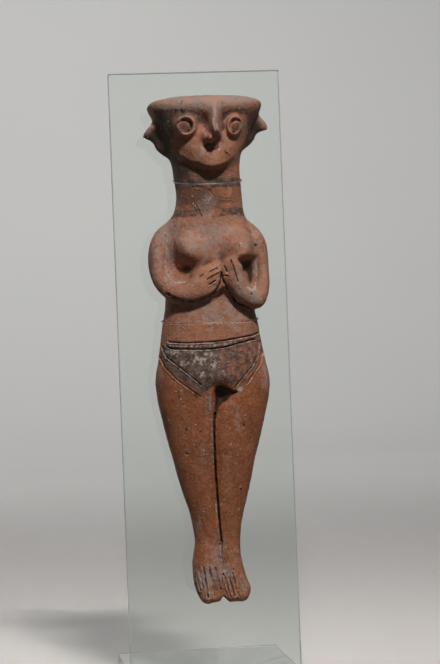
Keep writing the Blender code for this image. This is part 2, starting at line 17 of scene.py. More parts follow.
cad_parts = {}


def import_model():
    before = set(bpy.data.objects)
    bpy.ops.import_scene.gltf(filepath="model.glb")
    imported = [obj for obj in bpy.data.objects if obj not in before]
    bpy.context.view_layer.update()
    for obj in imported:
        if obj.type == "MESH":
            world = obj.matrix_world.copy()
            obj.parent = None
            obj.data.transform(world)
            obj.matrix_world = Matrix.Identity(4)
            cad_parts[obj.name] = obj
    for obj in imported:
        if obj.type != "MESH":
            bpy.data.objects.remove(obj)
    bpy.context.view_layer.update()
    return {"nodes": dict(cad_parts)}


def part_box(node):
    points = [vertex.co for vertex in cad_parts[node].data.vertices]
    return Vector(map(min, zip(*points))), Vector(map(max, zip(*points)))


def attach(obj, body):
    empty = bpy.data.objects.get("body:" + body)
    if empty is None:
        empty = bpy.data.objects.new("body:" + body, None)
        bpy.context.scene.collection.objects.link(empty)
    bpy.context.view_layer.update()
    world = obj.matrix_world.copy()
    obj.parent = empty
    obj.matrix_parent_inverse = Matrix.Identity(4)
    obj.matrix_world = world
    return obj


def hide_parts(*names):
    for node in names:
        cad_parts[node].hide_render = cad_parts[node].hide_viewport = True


LOG = logging.getLogger("figurine")
MM = 0.001
Point = tuple[float, float]
Span = tuple[float, float]
Colour = tuple[float, float, float]


def ramp(values: np.ndarray, start: float, end: float) -> np.ndarray:
    """From 0 at the start to 1 at the end, level beyond them."""
    return np.clip((values - start) / (end - start), 0.0, 1.0)


def soft_line(away: np.ndarray, width: float, middle: float = 0.0) -> np.ndarray:
    """A value of 1 at the middle distance from a line, falling smoothly to nothing round it."""
    return np.exp(-(((away - middle) / width) ** 2))


class Way(Enum):
    """The direction in which clay is moved."""

    TO_VIEWER = "to viewer"
    ALONG_NORMAL = "along normal"


class Side(Enum):
    """Which edge of a drawn groove carries the raised burr."""

    NEITHER = 0
    LEFT = 1
    RIGHT = -1
    BOTH = 2


@dataclass(frozen=True)
class FrontView:
    """The eye that the drawn features are placed by, set from the figurine's own axis.

    Places seen from it are in millimetres: x to the right of the axis and z above the toes.
    """

    foot: Vector
    yaw: float = math.radians(7.0)
    roll: float = math.atan(0.0395)
    distance: float = 0.9
    aim_right: float = 0.0036
    aim_up: float = 0.1119
    mm_per_pixel: float = 0.412
    picture_height: int = 664

    @property
    def look(self) -> Vector:
        """The level direction in which the eye looks."""
        return Vector((math.sin(self.yaw), math.cos(self.yaw), 0.0))

    @property
    def right(self) -> Vector:
        """The level direction to the eye's right."""
        return Vector((math.cos(self.yaw), -math.sin(self.yaw), 0.0))

    @property
    def place(self) -> Vector:
        """Where the eye stands."""
        target = self.foot + self.right * self.aim_right + Vector((0.0, 0.0, self.aim_up))
        return target - self.look * self.distance

    def seen(self, points: np.ndarray) -> np.ndarray:
        """Where points in metres are seen.

        Args:
            points: rows of x, y, z in metres.

        Returns:
            Rows of x and z in millimetres.
        """
        from_eye = points - np.array(self.place)
        depth = from_eye @ np.array(self.look)
        x = self.aim_right + (from_eye @ np.array(self.right)) * self.distance / depth
        z = self.aim_up + from_eye[:, 2] * self.distance / depth
        return np.stack((x, z), axis=1) / MM

    def camera(self) -> bpy.types.Object:
        """Make the camera that stands at the eye.

        Returns:
            The camera object.
        """
        data = bpy.data.cameras.new("front_camera")
        data.sensor_width = 36.0
        data.lens = data.sensor_width * self.distance / MM / self.mm_per_pixel / self.picture_height
        data.dof.use_dof = False
        data.clip_end = 50.0
        up = Vector((0.0, 0.0, 1.0))
        tilted_right = self.right * math.cos(self.roll) - up * math.sin(self.roll)
        tilted_up = up * math.cos(self.roll) + self.right * math.sin(self.roll)
        axes = Matrix((tilted_right, tilted_up, -self.look)).transposed()
        camera = bpy.data.objects.new("front_camera", data)
        camera.matrix_world = Matrix.Translation(self.place) @ axes.to_4x4()
        bpy.context.scene.collection.objects.link(camera)
        return camera


@dataclass(frozen=True)
class Line:
    """A drawn line, as points seen from the front in millimetres."""

    points: tuple[Point, ...]

    def away(self, seen: np.ndarray) -> tuple[np.ndarray, np.ndarray]:
        """How far places lie from the line.

        Args:
            seen: rows of x and z in millimetres.

        Returns:
            The distances, and +1 or -1 for the line's left or right side.
        """
        nearest = np.full(len(seen), 1e6)
        side = np.ones(len(seen))
        for start, end in zip(self.points, self.points[1:]):
            a = np.array(start)
            run = np.array(end) - a
            share = np.clip(((seen - a) @ run) / (run @ run), 0.0, 1.0)
            gap = seen - a - share[:, None] * run
            distance = np.linalg.norm(gap, axis=1)
            closer = distance < nearest
            nearest[closer] = distance[closer]
            side[closer] = np.sign(run[0] * gap[closer, 1] - run[1] * gap[closer, 0] + 1e-9)
        return nearest, side


@dataclass(frozen=True)
class Groove:
    """A line drawn in the wet clay with a point, with the burr that it raised.

    Its sizes are in millimetres, and its dirt is the share of darkening that lies in it: dirt, and painted
    shade in the deep and undercut lines. A line of crust has a depth of less than nothing, and its dirt is
    the share of lime on it.
    """

    points: tuple[Point, ...]
    half_width: float
    depth: float
    burr: float = 0.0
    burr_side: Side = Side.NEITHER
    dirt_and_shade: float = 1.0

    def fall(self, seen: np.ndarray) -> np.ndarray:
        """How far the clay goes in at each place, in millimetres.

        Args:
            seen: rows of x and z in millimetres.

        Returns:
            The depths, less than nothing on the burr.
        """
        away, side = Line(self.points).away(seen)
        depth = self.depth * soft_line(away, self.half_width)
        rise = self.burr * soft_line(away, 0.75 * self.half_width, 1.9 * self.half_width)
        if self.burr_side in (Side.LEFT, Side.RIGHT):
            rise = rise * (side == self.burr_side.value)
        return depth - rise


@dataclass(frozen=True)
class Patch:
    """A soft oval seen from the front: a push of the clay, or a coloured place.

    Its place and half sizes are in millimetres, its turn is in degrees, and a crisper patch has a
    steeper rim.
    """

    x: float
    z: float
    wide: float
    high: float
    amount: float = 1.0
    turn: float = 0.0
    crisp: float = 1.0

    def reach(self, seen: np.ndarray) -> np.ndarray:
        """How far out places lie, where 1 is the oval's rim.

        Args:
            seen: rows of x and z in millimetres.

        Returns:
            The shares.
        """
        c, s = math.cos(math.radians(self.turn)), math.sin(math.radians(self.turn))
        dx, dz = seen[:, 0] - self.x, seen[:, 1] - self.z
        return np.hypot((dx * c + dz * s) / self.wide, (dz * c - dx * s) / self.high)

    def weight(self, seen: np.ndarray) -> np.ndarray:
        """The patch's amount at each place, falling smoothly to nothing.

        Args:
            seen: rows of x and z in millimetres.

        Returns:
            The amounts.
        """
        return self.amount * np.exp(-(np.minimum(self.reach(seen), 9.0) ** (2.0 * self.crisp)))


@dataclass(frozen=True)
class Area:
    """An area with a drawn outline, as points seen from the front in millimetres."""

    outline: tuple[Point, ...]

    def inside(self, seen: np.ndarray) -> np.ndarray:
        """How far inside the outline places lie.

        Args:
            seen: rows of x and z in millimetres.

        Returns:
            Distances in millimetres, less than nothing outside.
        """
        ring = (*self.outline, self.outline[0])
        away, _ = Line(ring).away(seen)
        within = np.zeros(len(seen), bool)
        for (x0, z0), (x1, z1) in zip(ring, ring[1:]):
            if z0 == z1:
                continue
            crosses = (seen[:, 1] > min(z0, z1)) & (seen[:, 1] <= max(z0, z1))
            at = x0 + (seen[:, 1] - z0) * (x1 - x0) / (z1 - z0)
            within ^= crosses & (seen[:, 0] < at)
        return np.where(within, away, -away)


@dataclass(frozen=True)
class Pocket:
    """A hollow with a drawn outline, sunk into the clay from the front.

    Its depth and the width of its sloping side are in millimetres, and dark is the share of painted shade in
    it.
    """

    area: Area
    depth: float
    soft: float
    dark: float

    def share(self, seen: np.ndarray) -> np.ndarray:
        """From 0 outside the edge to 1 well inside it.

        Args:
            seen: rows of x and z in millimetres.

        Returns:
            The shares.
        """
        share = np.clip(self.area.inside(seen) / self.soft + 0.3, 0.0, 1.0)
        return share * share * (3.0 - 2.0 * share)


@dataclass(frozen=True)
class Eye:
    """A pellet eye: a pad of clay with a raised ring round a smaller flattened pellet.

    Its place, half sizes and rises are in millimetres. The ring's width is a share of its half sizes.
    """

    x: float
    z: float
    ring_wide: float
    ring_high: float
    turn: float
    pellet: Patch
    pad_rise: float = 1.3
    ring_rise: float = 1.5
    ring_width: float = 0.24
    well: float = 1.0
    pellet_rise: float = 1.5

    def oval(self) -> Patch:
        """The oval of the ring's crest."""
        return Patch(self.x, self.z, self.ring_wide, self.ring_high, 1.0, self.turn)

    def rise(self, seen: np.ndarray) -> np.ndarray:
        """How far the eye stands out at each place, in millimetres.

        Args:
            seen: rows of x and z in millimetres.

        Returns:
            The heights.
        """
        reach = np.minimum(self.oval().reach(seen), 4.0)
        pad = self.pad_rise * np.exp(-((reach / 1.2) ** 9))
        ring = self.ring_rise * soft_line(reach, self.ring_width, 1.0)
        well = self.well * np.exp(-((reach / 0.83) ** 10))
        out = np.minimum(self.pellet.reach(seen), 3.0)
        dome = self.pellet_rise * np.exp(-((out / 0.98) ** 7))
        return pad + ring - well + dome * (1.0 - 0.22 * np.minimum(out, 1.2) ** 2)


def strongest(patches: tuple[Patch, ...], seen: np.ndarray) -> np.ndarray:
    """The greatest of the patches' amounts at each place."""
    return np.maximum.reduce([patch.weight(seen) for patch in patches])


def together(patches: tuple[Patch, ...], seen: np.ndarray) -> np.ndarray:
    """The patches' amounts at each place, added up."""
    return sum(patch.weight(seen) for patch in patches)


class Clay:
    """The skin of the figurine as arrays, with the ways in which it is shaped and marked."""

    def __init__(self, mesh: bpy.types.Mesh, view: FrontView) -> None:
        """Take a mesh in hand.

        Args:
            mesh: the mesh, in metres in the shared frame.
            view: the eye that drawn features are placed by.
        """
        self.mesh = mesh
        self.view = view
        self.points = np.empty((0, 3))
        self.normals = np.empty((0, 3))
        self.edges = np.empty((0, 2), int)
        self.read()

    def read(self) -> None:
        """Read points, edges and normals from the mesh."""
        count = len(self.mesh.vertices)
        flat = np.empty(count * 3)
        self.mesh.vertices.foreach_get("co", flat)
        self.points = flat.reshape(-1, 3).copy()
        ends = np.empty(len(self.mesh.edges) * 2, int)
        self.mesh.edges.foreach_get("vertices", ends)
        self.edges = ends.reshape(-1, 2)
        self.turn_normals()

    def turn_normals(self) -> None:
        """Write the points back to the mesh and read the new normals."""
        self.mesh.vertices.foreach_set("co", self.points.ravel())
        self.mesh.update()
        flat = np.empty(len(self.points) * 3)
        self.mesh.vertices.foreach_get("normal", flat)
        self.normals = flat.reshape(-1, 3)

    @property
    def seen(self) -> np.ndarray:
        """Where the points are seen from the front, in millimetres."""
        return self.view.seen(self.points)

    @property
    def fronting(self) -> np.ndarray:
        """From 0 on skin that faces away to 1 on skin that faces the viewer."""
        return ramp(self.normals @ -np.array(self.view.look), 0.0, 0.3)

    def means(self, values: np.ndarray) -> np.ndarray:
        """The mean of each point's neighbours.

        Args:
            values: rows of values, one for each point.

        Returns:
            The means, in rows of the same kind.
        """
        count = len(self.points)
        a, b = self.edges[:, 0], self.edges[:, 1]
        total = np.empty_like(values)
        for column in range(values.shape[1]):
            total[:, column] = np.bincount(a, values[b, column], count)
            total[:, column] += np.bincount(b, values[a, column], count)
        return total / np.maximum(np.bincount(self.edges.ravel(), minlength=count), 1)[:, None]

    def relax(self, weight: np.ndarray | float, rounds: int) -> None:
        """Smooth the skin.

        Args:
            weight: how much each point moves, from 0 to 1.
            rounds: how often.
        """
        share = np.broadcast_to(np.asarray(weight, float), len(self.points)) * 0.6
        for _ in range(rounds):
            self.points += (self.means(self.points) - self.points) * share[:, None]
        self.turn_normals()

    def move(self, height: np.ndarray, way: Way) -> None:
        """Raise or sink the front of the skin.

        Args:
            height: how far each point rises, in millimetres.
            way: towards the viewer or along the normals.
        """
        heading = self.normals if way is Way.ALONG_NORMAL else -np.array(self.view.look)
        self.points = self.points + heading * (height * self.fronting * MM)[:, None]
        self.turn_normals()

    def push(self, patches: tuple[Patch, ...], way: Way = Way.TO_VIEWER) -> None:
        """Push the clay out, or in where a patch's amount is less than nothing.

        Args:
            patches: the places, with amounts in millimetres.
            way: the direction of the push.
        """
        seen = self.seen
        self.move(together(patches, seen), way)

    def press(self, grooves: tuple[Groove, ...], ragged: float = 0.25) -> None:
        """Draw lines into the clay.

        Args:
            grooves: the lines.
            ragged: how unevenly the point bit into the clay.
        """
        seen = self.seen
        bite = np.clip(1.0 + ragged * 2.5 * self.ripple(0.0016, 2.3), 0.1, 1.7)
        self.move(-bite * sum(groove.fall(seen) for groove in grooves), Way.ALONG_NORMAL)

    def refine(self, wanted: np.ndarray) -> None:
        """Cut the faces that touch wanted points into four.

        Args:
            wanted: true for the points round which finer clay is needed.
        """
        bm = bmesh.new()
        bm.from_mesh(self.mesh)
        bm.verts.ensure_lookup_table()
        edges = set()
        for index in np.flatnonzero(wanted):
            for face in bm.verts[index].link_faces:
                edges.update(face.edges)
        bmesh.ops.subdivide_edges(bm, edges=list(edges), cuts=1, use_grid_fill=True)
        bmesh.ops.triangulate(bm, faces=[face for face in bm.faces if len(face.verts) > 4])
        bm.to_mesh(self.mesh)
        bm.free()
        self.read()

    def ripple(self, size: float, seed: float, stretch: float = 1.0) -> np.ndarray:
        """Even noise over the skin.

        Args:
            size: the width of its lumps in metres.
            seed: a number that picks the noise.
            stretch: how many times taller than wide the lumps are.

        Returns:
            Values of about -1 to 1.
        """
        scaled = self.points / size
        scaled[:, 2] /= stretch
        return np.array([noise.noise(Vector((x + seed, y, z))) for x, y, z in scaled])

    def field(self, name: str, values: np.ndarray) -> None:
        """Keep a value for each point under a name that the material reads.

        Args:
            name: the field's name.
            values: one value for each point.
        """
        layer = self.mesh.attributes.get(name) or self.mesh.attributes.new(name, "FLOAT", "POINT")
        layer.data.foreach_set("value", np.asarray(values, np.float32))


def modified(mesh: bpy.types.Mesh, kind: str, **settings: object) -> bpy.types.Mesh:
    """Work a modifier into a mesh.

    Args:
        mesh: the mesh, left as it is.
        kind: the modifier's type.
        **settings: its values.

    Returns:
        A new mesh.
    """
    thing = bpy.data.objects.new("worked", mesh)
    bpy.context.scene.collection.objects.link(thing)
    modifier = thing.modifiers.new(kind.title(), kind)
    for key, value in settings.items():
        setattr(modifier, key, value)
    graph = bpy.context.evaluated_depsgraph_get()
    result = bpy.data.meshes.new_from_object(thing.evaluated_get(graph))
    bpy.data.objects.remove(thing, do_unlink=True)
    return result


@dataclass(frozen=True)
class Pit:
    """A small hole in the skin, or a grain that stands out where its depth is less than nothing.

    Its sizes are in millimetres. Pale is the share of lime on it and dark the share of dirt in it.
    """

    x: float
    z: float
    radius: float
    depth: float
    pale: float = 0.0
    dark: float = 0.0

    def patch(self, amount: float, share: float = 1.0) -> Patch:
        """The pit as a patch of some amount, its radius times a share."""
        return Patch(self.x, self.z, self.radius * share, self.radius * share, amount)


# Pellets, drawn lines and chips, seen from the front in millimetres
EYES = (
    Eye(-7.1, 197.2, 3.65, 3.75, 0.0, Patch(-8.0, 196.9, 2.45, 2.5)),
    Eye(13.0, 196.5, 2.75, 3.6, -8.0, Patch(13.35, 196.2, 1.75, 2.55, 1.0, -18.0), ring_width=0.26),
)
GIRDLE = (
    Groove(((-17.6, 108.6), (-14.0, 108.2), (-10.0, 107.9), (0.0, 108.0), (5.0, 108.3), (10.0, 109.0),
            (14.0, 109.6), (17.0, 110.1), (20.4, 111.3)), 0.3, 0.85, 0.26, Side.RIGHT, 0.7),
    Groove(((-18.6, 107.0), (-17.0, 105.9), (-15.0, 105.6), (-5.0, 105.1), (0.0, 105.1), (5.0, 105.6),
            (8.0, 106.2), (11.0, 107.1), (13.0, 107.3), (16.0, 108.2), (18.0, 108.4)), 0.32, 0.95, 0.3,
           Side.RIGHT, 0.8),
    Groove(((-17.8, 107.4), (-10.0, 106.9), (-2.0, 106.8)), 0.2, 0.25, 0.1, Side.RIGHT, 0.4),
)
TRIANGLE = (
    Groove(((-20.6, 107.0), (-20.0, 105.0), (-19.0, 102.5), (-16.0, 100.0), (-10.0, 95.0), (-5.0, 90.3)),
           0.24, 0.6, 0.34, Side.RIGHT, 0.5),
    Groove(((-21.5, 102.5), (-20.0, 98.5), (-15.0, 93.0), (-10.0, 89.0), (-5.5, 85.5)), 0.24, 0.6, 0.34,
           Side.RIGHT, 0.5),
    Groove(((19.6, 107.4), (19.3, 105.5), (18.5, 101.0), (16.0, 97.0), (12.0, 92.5), (8.5, 88.5)), 0.24, 0.6,
           0.34, Side.LEFT, 0.5),
    Groove(((20.8, 103.4), (19.8, 98.5), (17.0, 94.5), (14.0, 90.3)), 0.24, 0.6, 0.34, Side.LEFT, 0.5),
)
# The legs' slit is darkened all along: dirt, and painted shade in the deep cut.
LEG_SLIT = (
    Groove(((0.2, 78.5), (-0.2, 75.0), (-0.45, 68.0), (-0.5, 55.0), (-0.2, 45.0), (0.1, 38.0), (0.4, 32.0),
            (0.7, 27.5), (0.9, 25.6)), 0.36, 1.5, 0.16, Side.BOTH, 1.0),
    Groove(((0.9, 25.4), (0.7, 21.0), (0.9, 16.5), (0.6, 12.0), (0.3, 8.0)), 0.26, 0.4, 0.1, Side.BOTH,
           0.45),
)
# The creases under the forearms are darkened as painted shadow where the forearms overhang.
CREASES = (
    Groove(((-17.5, 128.3), (-14.0, 126.3), (-11.0, 125.0), (-8.0, 124.7), (-5.0, 125.2), (-2.0, 126.1),
            (0.0, 127.0), (1.8, 128.2), (3.2, 129.8), (4.3, 131.8), (4.8, 133.6), (4.9, 136.2)), 0.5, 0.8),
    Groove(((4.9, 136.4), (5.6, 133.6), (6.9, 130.2), (8.6, 127.6), (9.5, 125.4), (10.6, 123.9),
            (12.4, 122.8), (15.0, 121.8), (17.0, 120.2)), 0.48, 0.8),
)
LEFT_HAND = (
    Groove(((0.3, 137.0), (1.9, 137.7), (3.4, 138.4)), 0.3, 0.6, 0.16, Side.RIGHT),
    Groove(((-0.7, 133.8), (1.4, 135.0), (4.0, 136.3)), 0.3, 0.75, 0.16, Side.RIGHT),
    Groove(((-0.1, 131.6), (1.2, 132.3), (2.6, 133.1)), 0.36, 0.7, 0.3, Side.RIGHT),
    Groove(((-3.9, 135.1), (-3.2, 135.5), (-2.6, 136.0)), 0.32, 0.6, 0.14, Side.RIGHT),
)
RIGHT_HAND = (
    Groove(((9.2, 141.5), (9.6, 140.6), (10.4, 138.2), (11.0, 135.6), (11.9, 132.4)), 0.32, 0.75, 0.14,
           Side.BOTH),
    Groove(((9.1, 141.4), (9.7, 140.5)), 0.42, 0.7),
    Groove(((6.3, 138.9), (6.8, 137.9), (7.2, 136.8)), 0.3, 0.6, 0.14, Side.RIGHT),
    Groove(((5.3, 135.3), (6.5, 135.0), (7.7, 134.9)), 0.28, 0.4, 0.1, Side.LEFT),
)
TOES = (
    Groove(((-8.7, 13.4), (-8.2, 10.4), (-7.6, 7.0)), 0.3, 0.5, 0.22, Side.BOTH, 0.26),
    Groove(((-7.0, 15.0), (-6.6, 11.6), (-6.2, 8.0), (-5.6, 3.0)), 0.34, 0.65, 0.22, Side.BOTH, 0.26),
    Groove(((-4.5, 15.2), (-3.7, 11.6), (-2.8, 8.6), (-1.7, 5.6)), 0.34, 0.65, 0.22, Side.BOTH, 0.28),
    Groove(((-2.1, 15.0), (-1.3, 12.0), (-0.7, 9.0), (-0.1, 6.0)), 0.3, 0.6, 0.22, Side.BOTH, 0.28),
    Groove(((-3.4, 7.2), (-3.0, 5.4), (-2.9, 3.8)), 0.22, 0.35, 0.08, Side.BOTH, 0.4),
    Groove(((-9.8, 10.6), (-9.2, 8.0), (-8.6, 5.6)), 0.24, 0.3, 0.22, Side.BOTH, 0.18),
    Groove(((1.1, 12.2), (2.1, 8.6), (3.0, 5.2), (3.7, 2.6)), 0.32, 0.6, 0.22, Side.BOTH, 0.28),
    Groove(((3.2, 11.2), (4.1, 7.8), (5.0, 4.6), (5.3, 3.0)), 0.34, 0.65, 0.22, Side.BOTH, 0.28),
    Groove(((4.9, 12.4), (5.6, 9.6), (6.2, 7.2)), 0.28, 0.5, 0.22, Side.BOTH, 0.34),
    Groove(((6.7, 4.6), (7.4, 3.0), (8.3, 1.4)), 0.28, 0.45, 0.22, Side.BOTH, 0.28),
    Groove(((1.5, 5.6), (2.2, 4.2), (2.7, 3.0)), 0.24, 0.4, 0.08, Side.BOTH, 0.6),
    Groove(((8.4, 10.0), (9.2, 7.6), (10.0, 5.6)), 0.2, 0.2, 0.06, Side.BOTH, 0.3),
)
CRACKS = (
    Groove(((-8.2, 207.6), (-8.5, 207.0), (-8.9, 206.1)), 0.16, 0.3, 0.05, Side.BOTH, 0.75),
    Groove(((-8.7, 203.4), (-8.4, 202.8)), 0.34, 0.35, 0.0, Side.NEITHER, 0.9),
    Groove(((8.5, 186.7), (8.6, 185.9), (9.3, 185.6), (9.7, 185.1), (10.2, 184.5)), 0.2, 0.35, 0.08,
           Side.BOTH, 0.75),
    Groove(((-5.6, 172.6), (-5.3, 171.0), (-3.8, 170.2), (-1.9, 170.7), (-1.4, 172.4)), 0.2, 0.3, 0.08,
           Side.BOTH, 0.7),
    Groove(((1.4, 170.8), (3.4, 168.3), (6.2, 167.2), (8.5, 166.7), (9.9, 167.5)), 0.2, 0.4, 0.05, Side.LEFT,
           0.8),
    Groove(((-4.2, 164.6), (-3.2, 163.2), (-2.6, 161.0), (-1.8, 159.8)), 0.2, 0.3, 0.08, Side.BOTH, 0.6),
    Groove(((9.6, 165.8), (11.2, 165.2), (12.0, 164.2)), 0.18, 0.25, 0.05, Side.BOTH, 0.5),
    Groove(((-12.6, 62.0), (-12.0, 62.5), (-11.4, 61.9)), 0.24, 0.3, 0.12, Side.LEFT, 0.6),
)
DRAWN_LINES = (*GIRDLE, *TRIANGLE, *LEG_SLIT, *CREASES, *LEFT_HAND, *RIGHT_HAND, *TOES, *CRACKS)
FLAKES = (
    Area(((1.5, 170.6), (3.5, 168.2), (6.2, 167.2), (8.5, 166.7), (10.0, 167.5), (10.8, 169.8), (11.0, 172.0),
          (6.5, 171.6), (3.0, 171.7))),
    Area(((-5.5, 172.2), (-5.2, 171.0), (-3.7, 170.2), (-1.9, 170.7), (-1.5, 172.2))),
    Area(((4.2, 165.6), (6.0, 164.2), (9.4, 163.8), (10.6, 165.2), (8.4, 166.0))),
)
PITS = (
    Pit(-6.3, 71.3, 0.42, 0.5, 0.0, 0.9), Pit(12.0, 73.5, 0.4, 0.45, 0.0, 0.8),
    Pit(-11.8, 72.5, 0.36, 0.4, 0.0, 0.7), Pit(9.8, 47.9, 0.5, -0.15, 1.0, 0.0),
    Pit(9.7, 46.8, 0.45, 0.5, 0.0, 0.9), Pit(-12.3, 62.3, 0.5, 0.3, 0.8, 0.0),
    Pit(1.4, 41.0, 0.34, -0.1, 1.0, 0.0), Pit(8.5, 38.5, 0.36, -0.1, 1.0, 0.0),
    Pit(6.5, 65.5, 0.3, -0.1, 0.9, 0.0), Pit(13.0, 63.5, 0.32, -0.1, 0.9, 0.0),
    Pit(-4.5, 34.0, 0.36, -0.1, 1.0, 0.0), Pit(-9.8, 41.0, 0.32, -0.1, 0.9, 0.0),
    Pit(-7.0, 39.5, 0.3, -0.1, 0.8, 0.0), Pit(5.7, 115.0, 0.36, 0.3, 0.0, 0.6),
    Pit(6.0, 116.0, 0.3, -0.1, 0.8, 0.0), Pit(12.9, 147.3, 0.45, 0.3, 0.0, 0.85),
    Pit(13.6, 148.2, 0.5, -0.12, 0.9, 0.0), Pit(19.6, 147.2, 0.42, 0.4, 0.0, 0.9),
    Pit(6.3, 187.2, 0.4, -0.15, 1.0, 0.0), Pit(4.7, 199.7, 0.35, -0.05, 0.8, 0.0),
    Pit(13.7, 205.4, 0.4, -0.1, 0.9, 0.0), Pit(7.5, 135.9, 0.45, -0.12, 0.9, 0.0),
    Pit(6.2, 121.2, 0.36, 0.35, 0.0, 0.8), Pit(-3.6, 119.4, 0.34, 0.3, 0.0, 0.6),
    Pit(17.3, 127.0, 0.5, 0.35, 0.0, 0.6), Pit(13.7, 123.8, 0.4, -0.12, 0.7, 0.0),
    Pit(3.2, 144.6, 0.5, -0.12, 0.8, 0.0), Pit(-0.4, 150.0, 0.4, -0.05, 0.6, 0.0),
    Pit(-13.5, 33.0, 0.4, 0.2, 0.0, 0.6), Pit(4.8, 57.5, 0.34, 0.35, 0.0, 0.7),
    Pit(-8.6, 84.0, 0.3, -0.1, 0.8, 0.0), Pit(14.4, 84.5, 0.32, 0.35, 0.0, 0.7),
    Pit(-15.0, 86.0, 0.34, 0.35, 0.0, 0.7), Pit(-4.6, 60.5, 0.3, 0.3, 0.0, 0.6),
)
# Lime crust and dark paint
CRUST_LINES = (
    Groove(((-17.0, 147.4), (-17.6, 143.5), (-17.8, 139.0), (-16.9, 136.0), (-15.2, 133.6), (-13.0, 132.7),
            (-9.6, 133.2)), 0.36, -0.16, dirt_and_shade=0.68),
    Groove(((19.7, 141.0), (19.4, 136.0), (19.1, 131.6), (18.4, 128.9), (17.2, 128.6), (15.9, 129.8)), 0.55,
           -0.12, dirt_and_shade=1.0),
    Groove(((-13.7, 154.4), (-12.6, 155.6), (-11.4, 157.2)), 0.3, -0.05, dirt_and_shade=0.46),
    Groove(((-13.9, 145.6), (-13.2, 142.0), (-12.8, 139.0)), 0.5, -0.05, dirt_and_shade=0.37),
    Groove(((-1.3, 87.0), (-1.5, 80.0), (-1.4, 70.0), (-1.3, 58.0)), 0.5, -0.05, dirt_and_shade=0.42),
    Groove(((-0.9, 41.0), (-0.6, 34.0), (-0.2, 27.0)), 0.4, -0.05, dirt_and_shade=0.5),
    Groove(((0.5, 24.5), (0.6, 20.0), (0.9, 16.0)), 0.5, -0.08, dirt_and_shade=0.55),
    Groove(((-0.5, 130.9), (2.0, 132.4), (4.6, 134.3)), 0.26, -0.05, dirt_and_shade=0.5),
    Groove(((3.2, 139.9), (4.3, 138.8), (4.7, 137.2)), 0.34, -0.05, dirt_and_shade=0.43),
)
CRUST_FILMS = (
    Groove(((12.9, 139.8), (13.4, 137.9), (13.9, 136.2)), 0.4, -0.05, dirt_and_shade=0.37),
    Groove(((-14.3, 182.2), (-14.3, 180.8), (-13.9, 179.6)), 0.35, -0.05, dirt_and_shade=0.5),
    Groove(((-19.0, 107.4), (-8.0, 106.5), (2.0, 106.6), (9.8, 107.3)), 0.6, 0.0, dirt_and_shade=0.48),
    Groove(((-20.0, 110.4), (-10.0, 109.0), (0.0, 109.2), (10.0, 110.0), (19.8, 112.0)), 0.28, 0.0,
           dirt_and_shade=0.37),
    Groove(((-15.0, 104.5), (0.0, 103.9), (8.0, 104.8)), 0.3, 0.0, dirt_and_shade=0.31),
)
ENCRUSTED = (*CRUST_LINES, *CRUST_FILMS)
PELVIS_PAINT = Area(((-20.4, 108.0), (-10.0, 107.2), (0.0, 107.4), (10.0, 108.2), (20.2, 110.2),
                     (20.3, 103.0), (17.6, 96.6), (14.2, 91.4), (12.2, 90.4), (8.8, 87.6), (6.5, 90.3),
                     (3.6, 91.9), (0.6, 90.6), (-1.6, 88.6), (-5.2, 86.4), (-9.4, 89.6), (-14.4, 93.8),
                     (-19.4, 98.8), (-21.4, 103.4)))
BROW_PAINT = (
    Area(((-20.0, 203.8), (-14.0, 204.6), (-8.0, 204.4), (-3.0, 203.4), (-0.6, 201.9), (1.2, 199.6),
          (1.7, 196.0), (1.0, 194.8), (0.4, 197.4), (-1.4, 199.2), (-3.2, 200.6), (-5.4, 201.6),
          (-9.0, 201.6), (-11.6, 200.2), (-12.6, 197.6), (-19.0, 197.5))),
    Area(((6.6, 200.8), (8.8, 202.5), (11.8, 204.2), (15.2, 203.9), (18.6, 202.6), (20.6, 200.0),
          (18.4, 200.6), (15.4, 202.0), (12.4, 202.3), (9.6, 200.6), (7.6, 198.8))),
)
# Where the clay is pushed out, or in, or sunk
BREASTS = (
    Patch(-6.8, 145.8, 5.6, 3.8, 1.7), Patch(-8.5, 152.4, 5.5, 2.6, -1.1),
    Patch(-5.8, 142.9, 4.8, 2.9, 1.9, 0.0, 1.2), Patch(-8.2, 146.4, 3.3, 3.2, 0.7),
    Patch(14.6, 145.6, 4.6, 3.0, 1.5), Patch(13.5, 151.6, 4.5, 2.4, -0.7),
    Patch(15.6, 142.9, 4.0, 1.8, 2.8, 8.0, 1.3), Patch(16.8, 145.4, 2.6, 2.2, 0.9, -15.0),
    Patch(-11.0, 138.8, 3.4, 2.2, -1.4, -25.0), Patch(-13.4, 143.0, 1.3, 4.5, -0.9),
    Patch(15.8, 137.6, 3.0, 2.2, -1.2, 10.0), Patch(17.0, 134.0, 1.6, 4.0, -1.2),
)
JAW = (
    Patch(-9.5, 184.8, 3.0, 1.5, 1.3, -32.0), Patch(-4.5, 182.2, 3.4, 1.4, 1.2, -18.0),
    Patch(2.0, 180.7, 4.0, 1.1, 0.7), Patch(9.0, 181.4, 3.2, 1.3, 1.1, 16.0),
    Patch(13.2, 184.0, 2.6, 1.5, 1.4, 38.0),
)
NOSE = (
    Patch(1.5, 197.6, 1.5, 5.0, -0.7, 8.0), Patch(6.0, 198.9, 1.3, 6.0, 3.6, 3.0, 2.0),
    Patch(4.95, 199.4, 2.1, 6.4, 1.7, 4.0, 1.8), Patch(4.9, 203.6, 2.6, 2.6, 0.8, 0.0, 1.6),
    Patch(6.1, 198.3, 1.0, 3.2, 3.9, 3.0, 2.6), Patch(5.1, 194.9, 1.5, 1.2, 0.7, 0.0, 2.0),
    Patch(1.6, 191.7, 1.8, 1.8, 0.9, 15.0, 2.0), Patch(2.9, 191.4, 0.9, 1.4, 0.9, 0.0, 1.6),
    Patch(2.6, 194.8, 1.2, 1.0, -0.6), Patch(7.6, 191.6, 0.8, 1.8, 0.4, 0.0, 1.3),
    Patch(-22.0, 197.6, 2.6, 1.7, 1.7, 20.0),
)
NOSE_RIDGE = (Patch(5.0, 198.4, 1.5, 5.8, 1.8, 3.0, 1.8),)
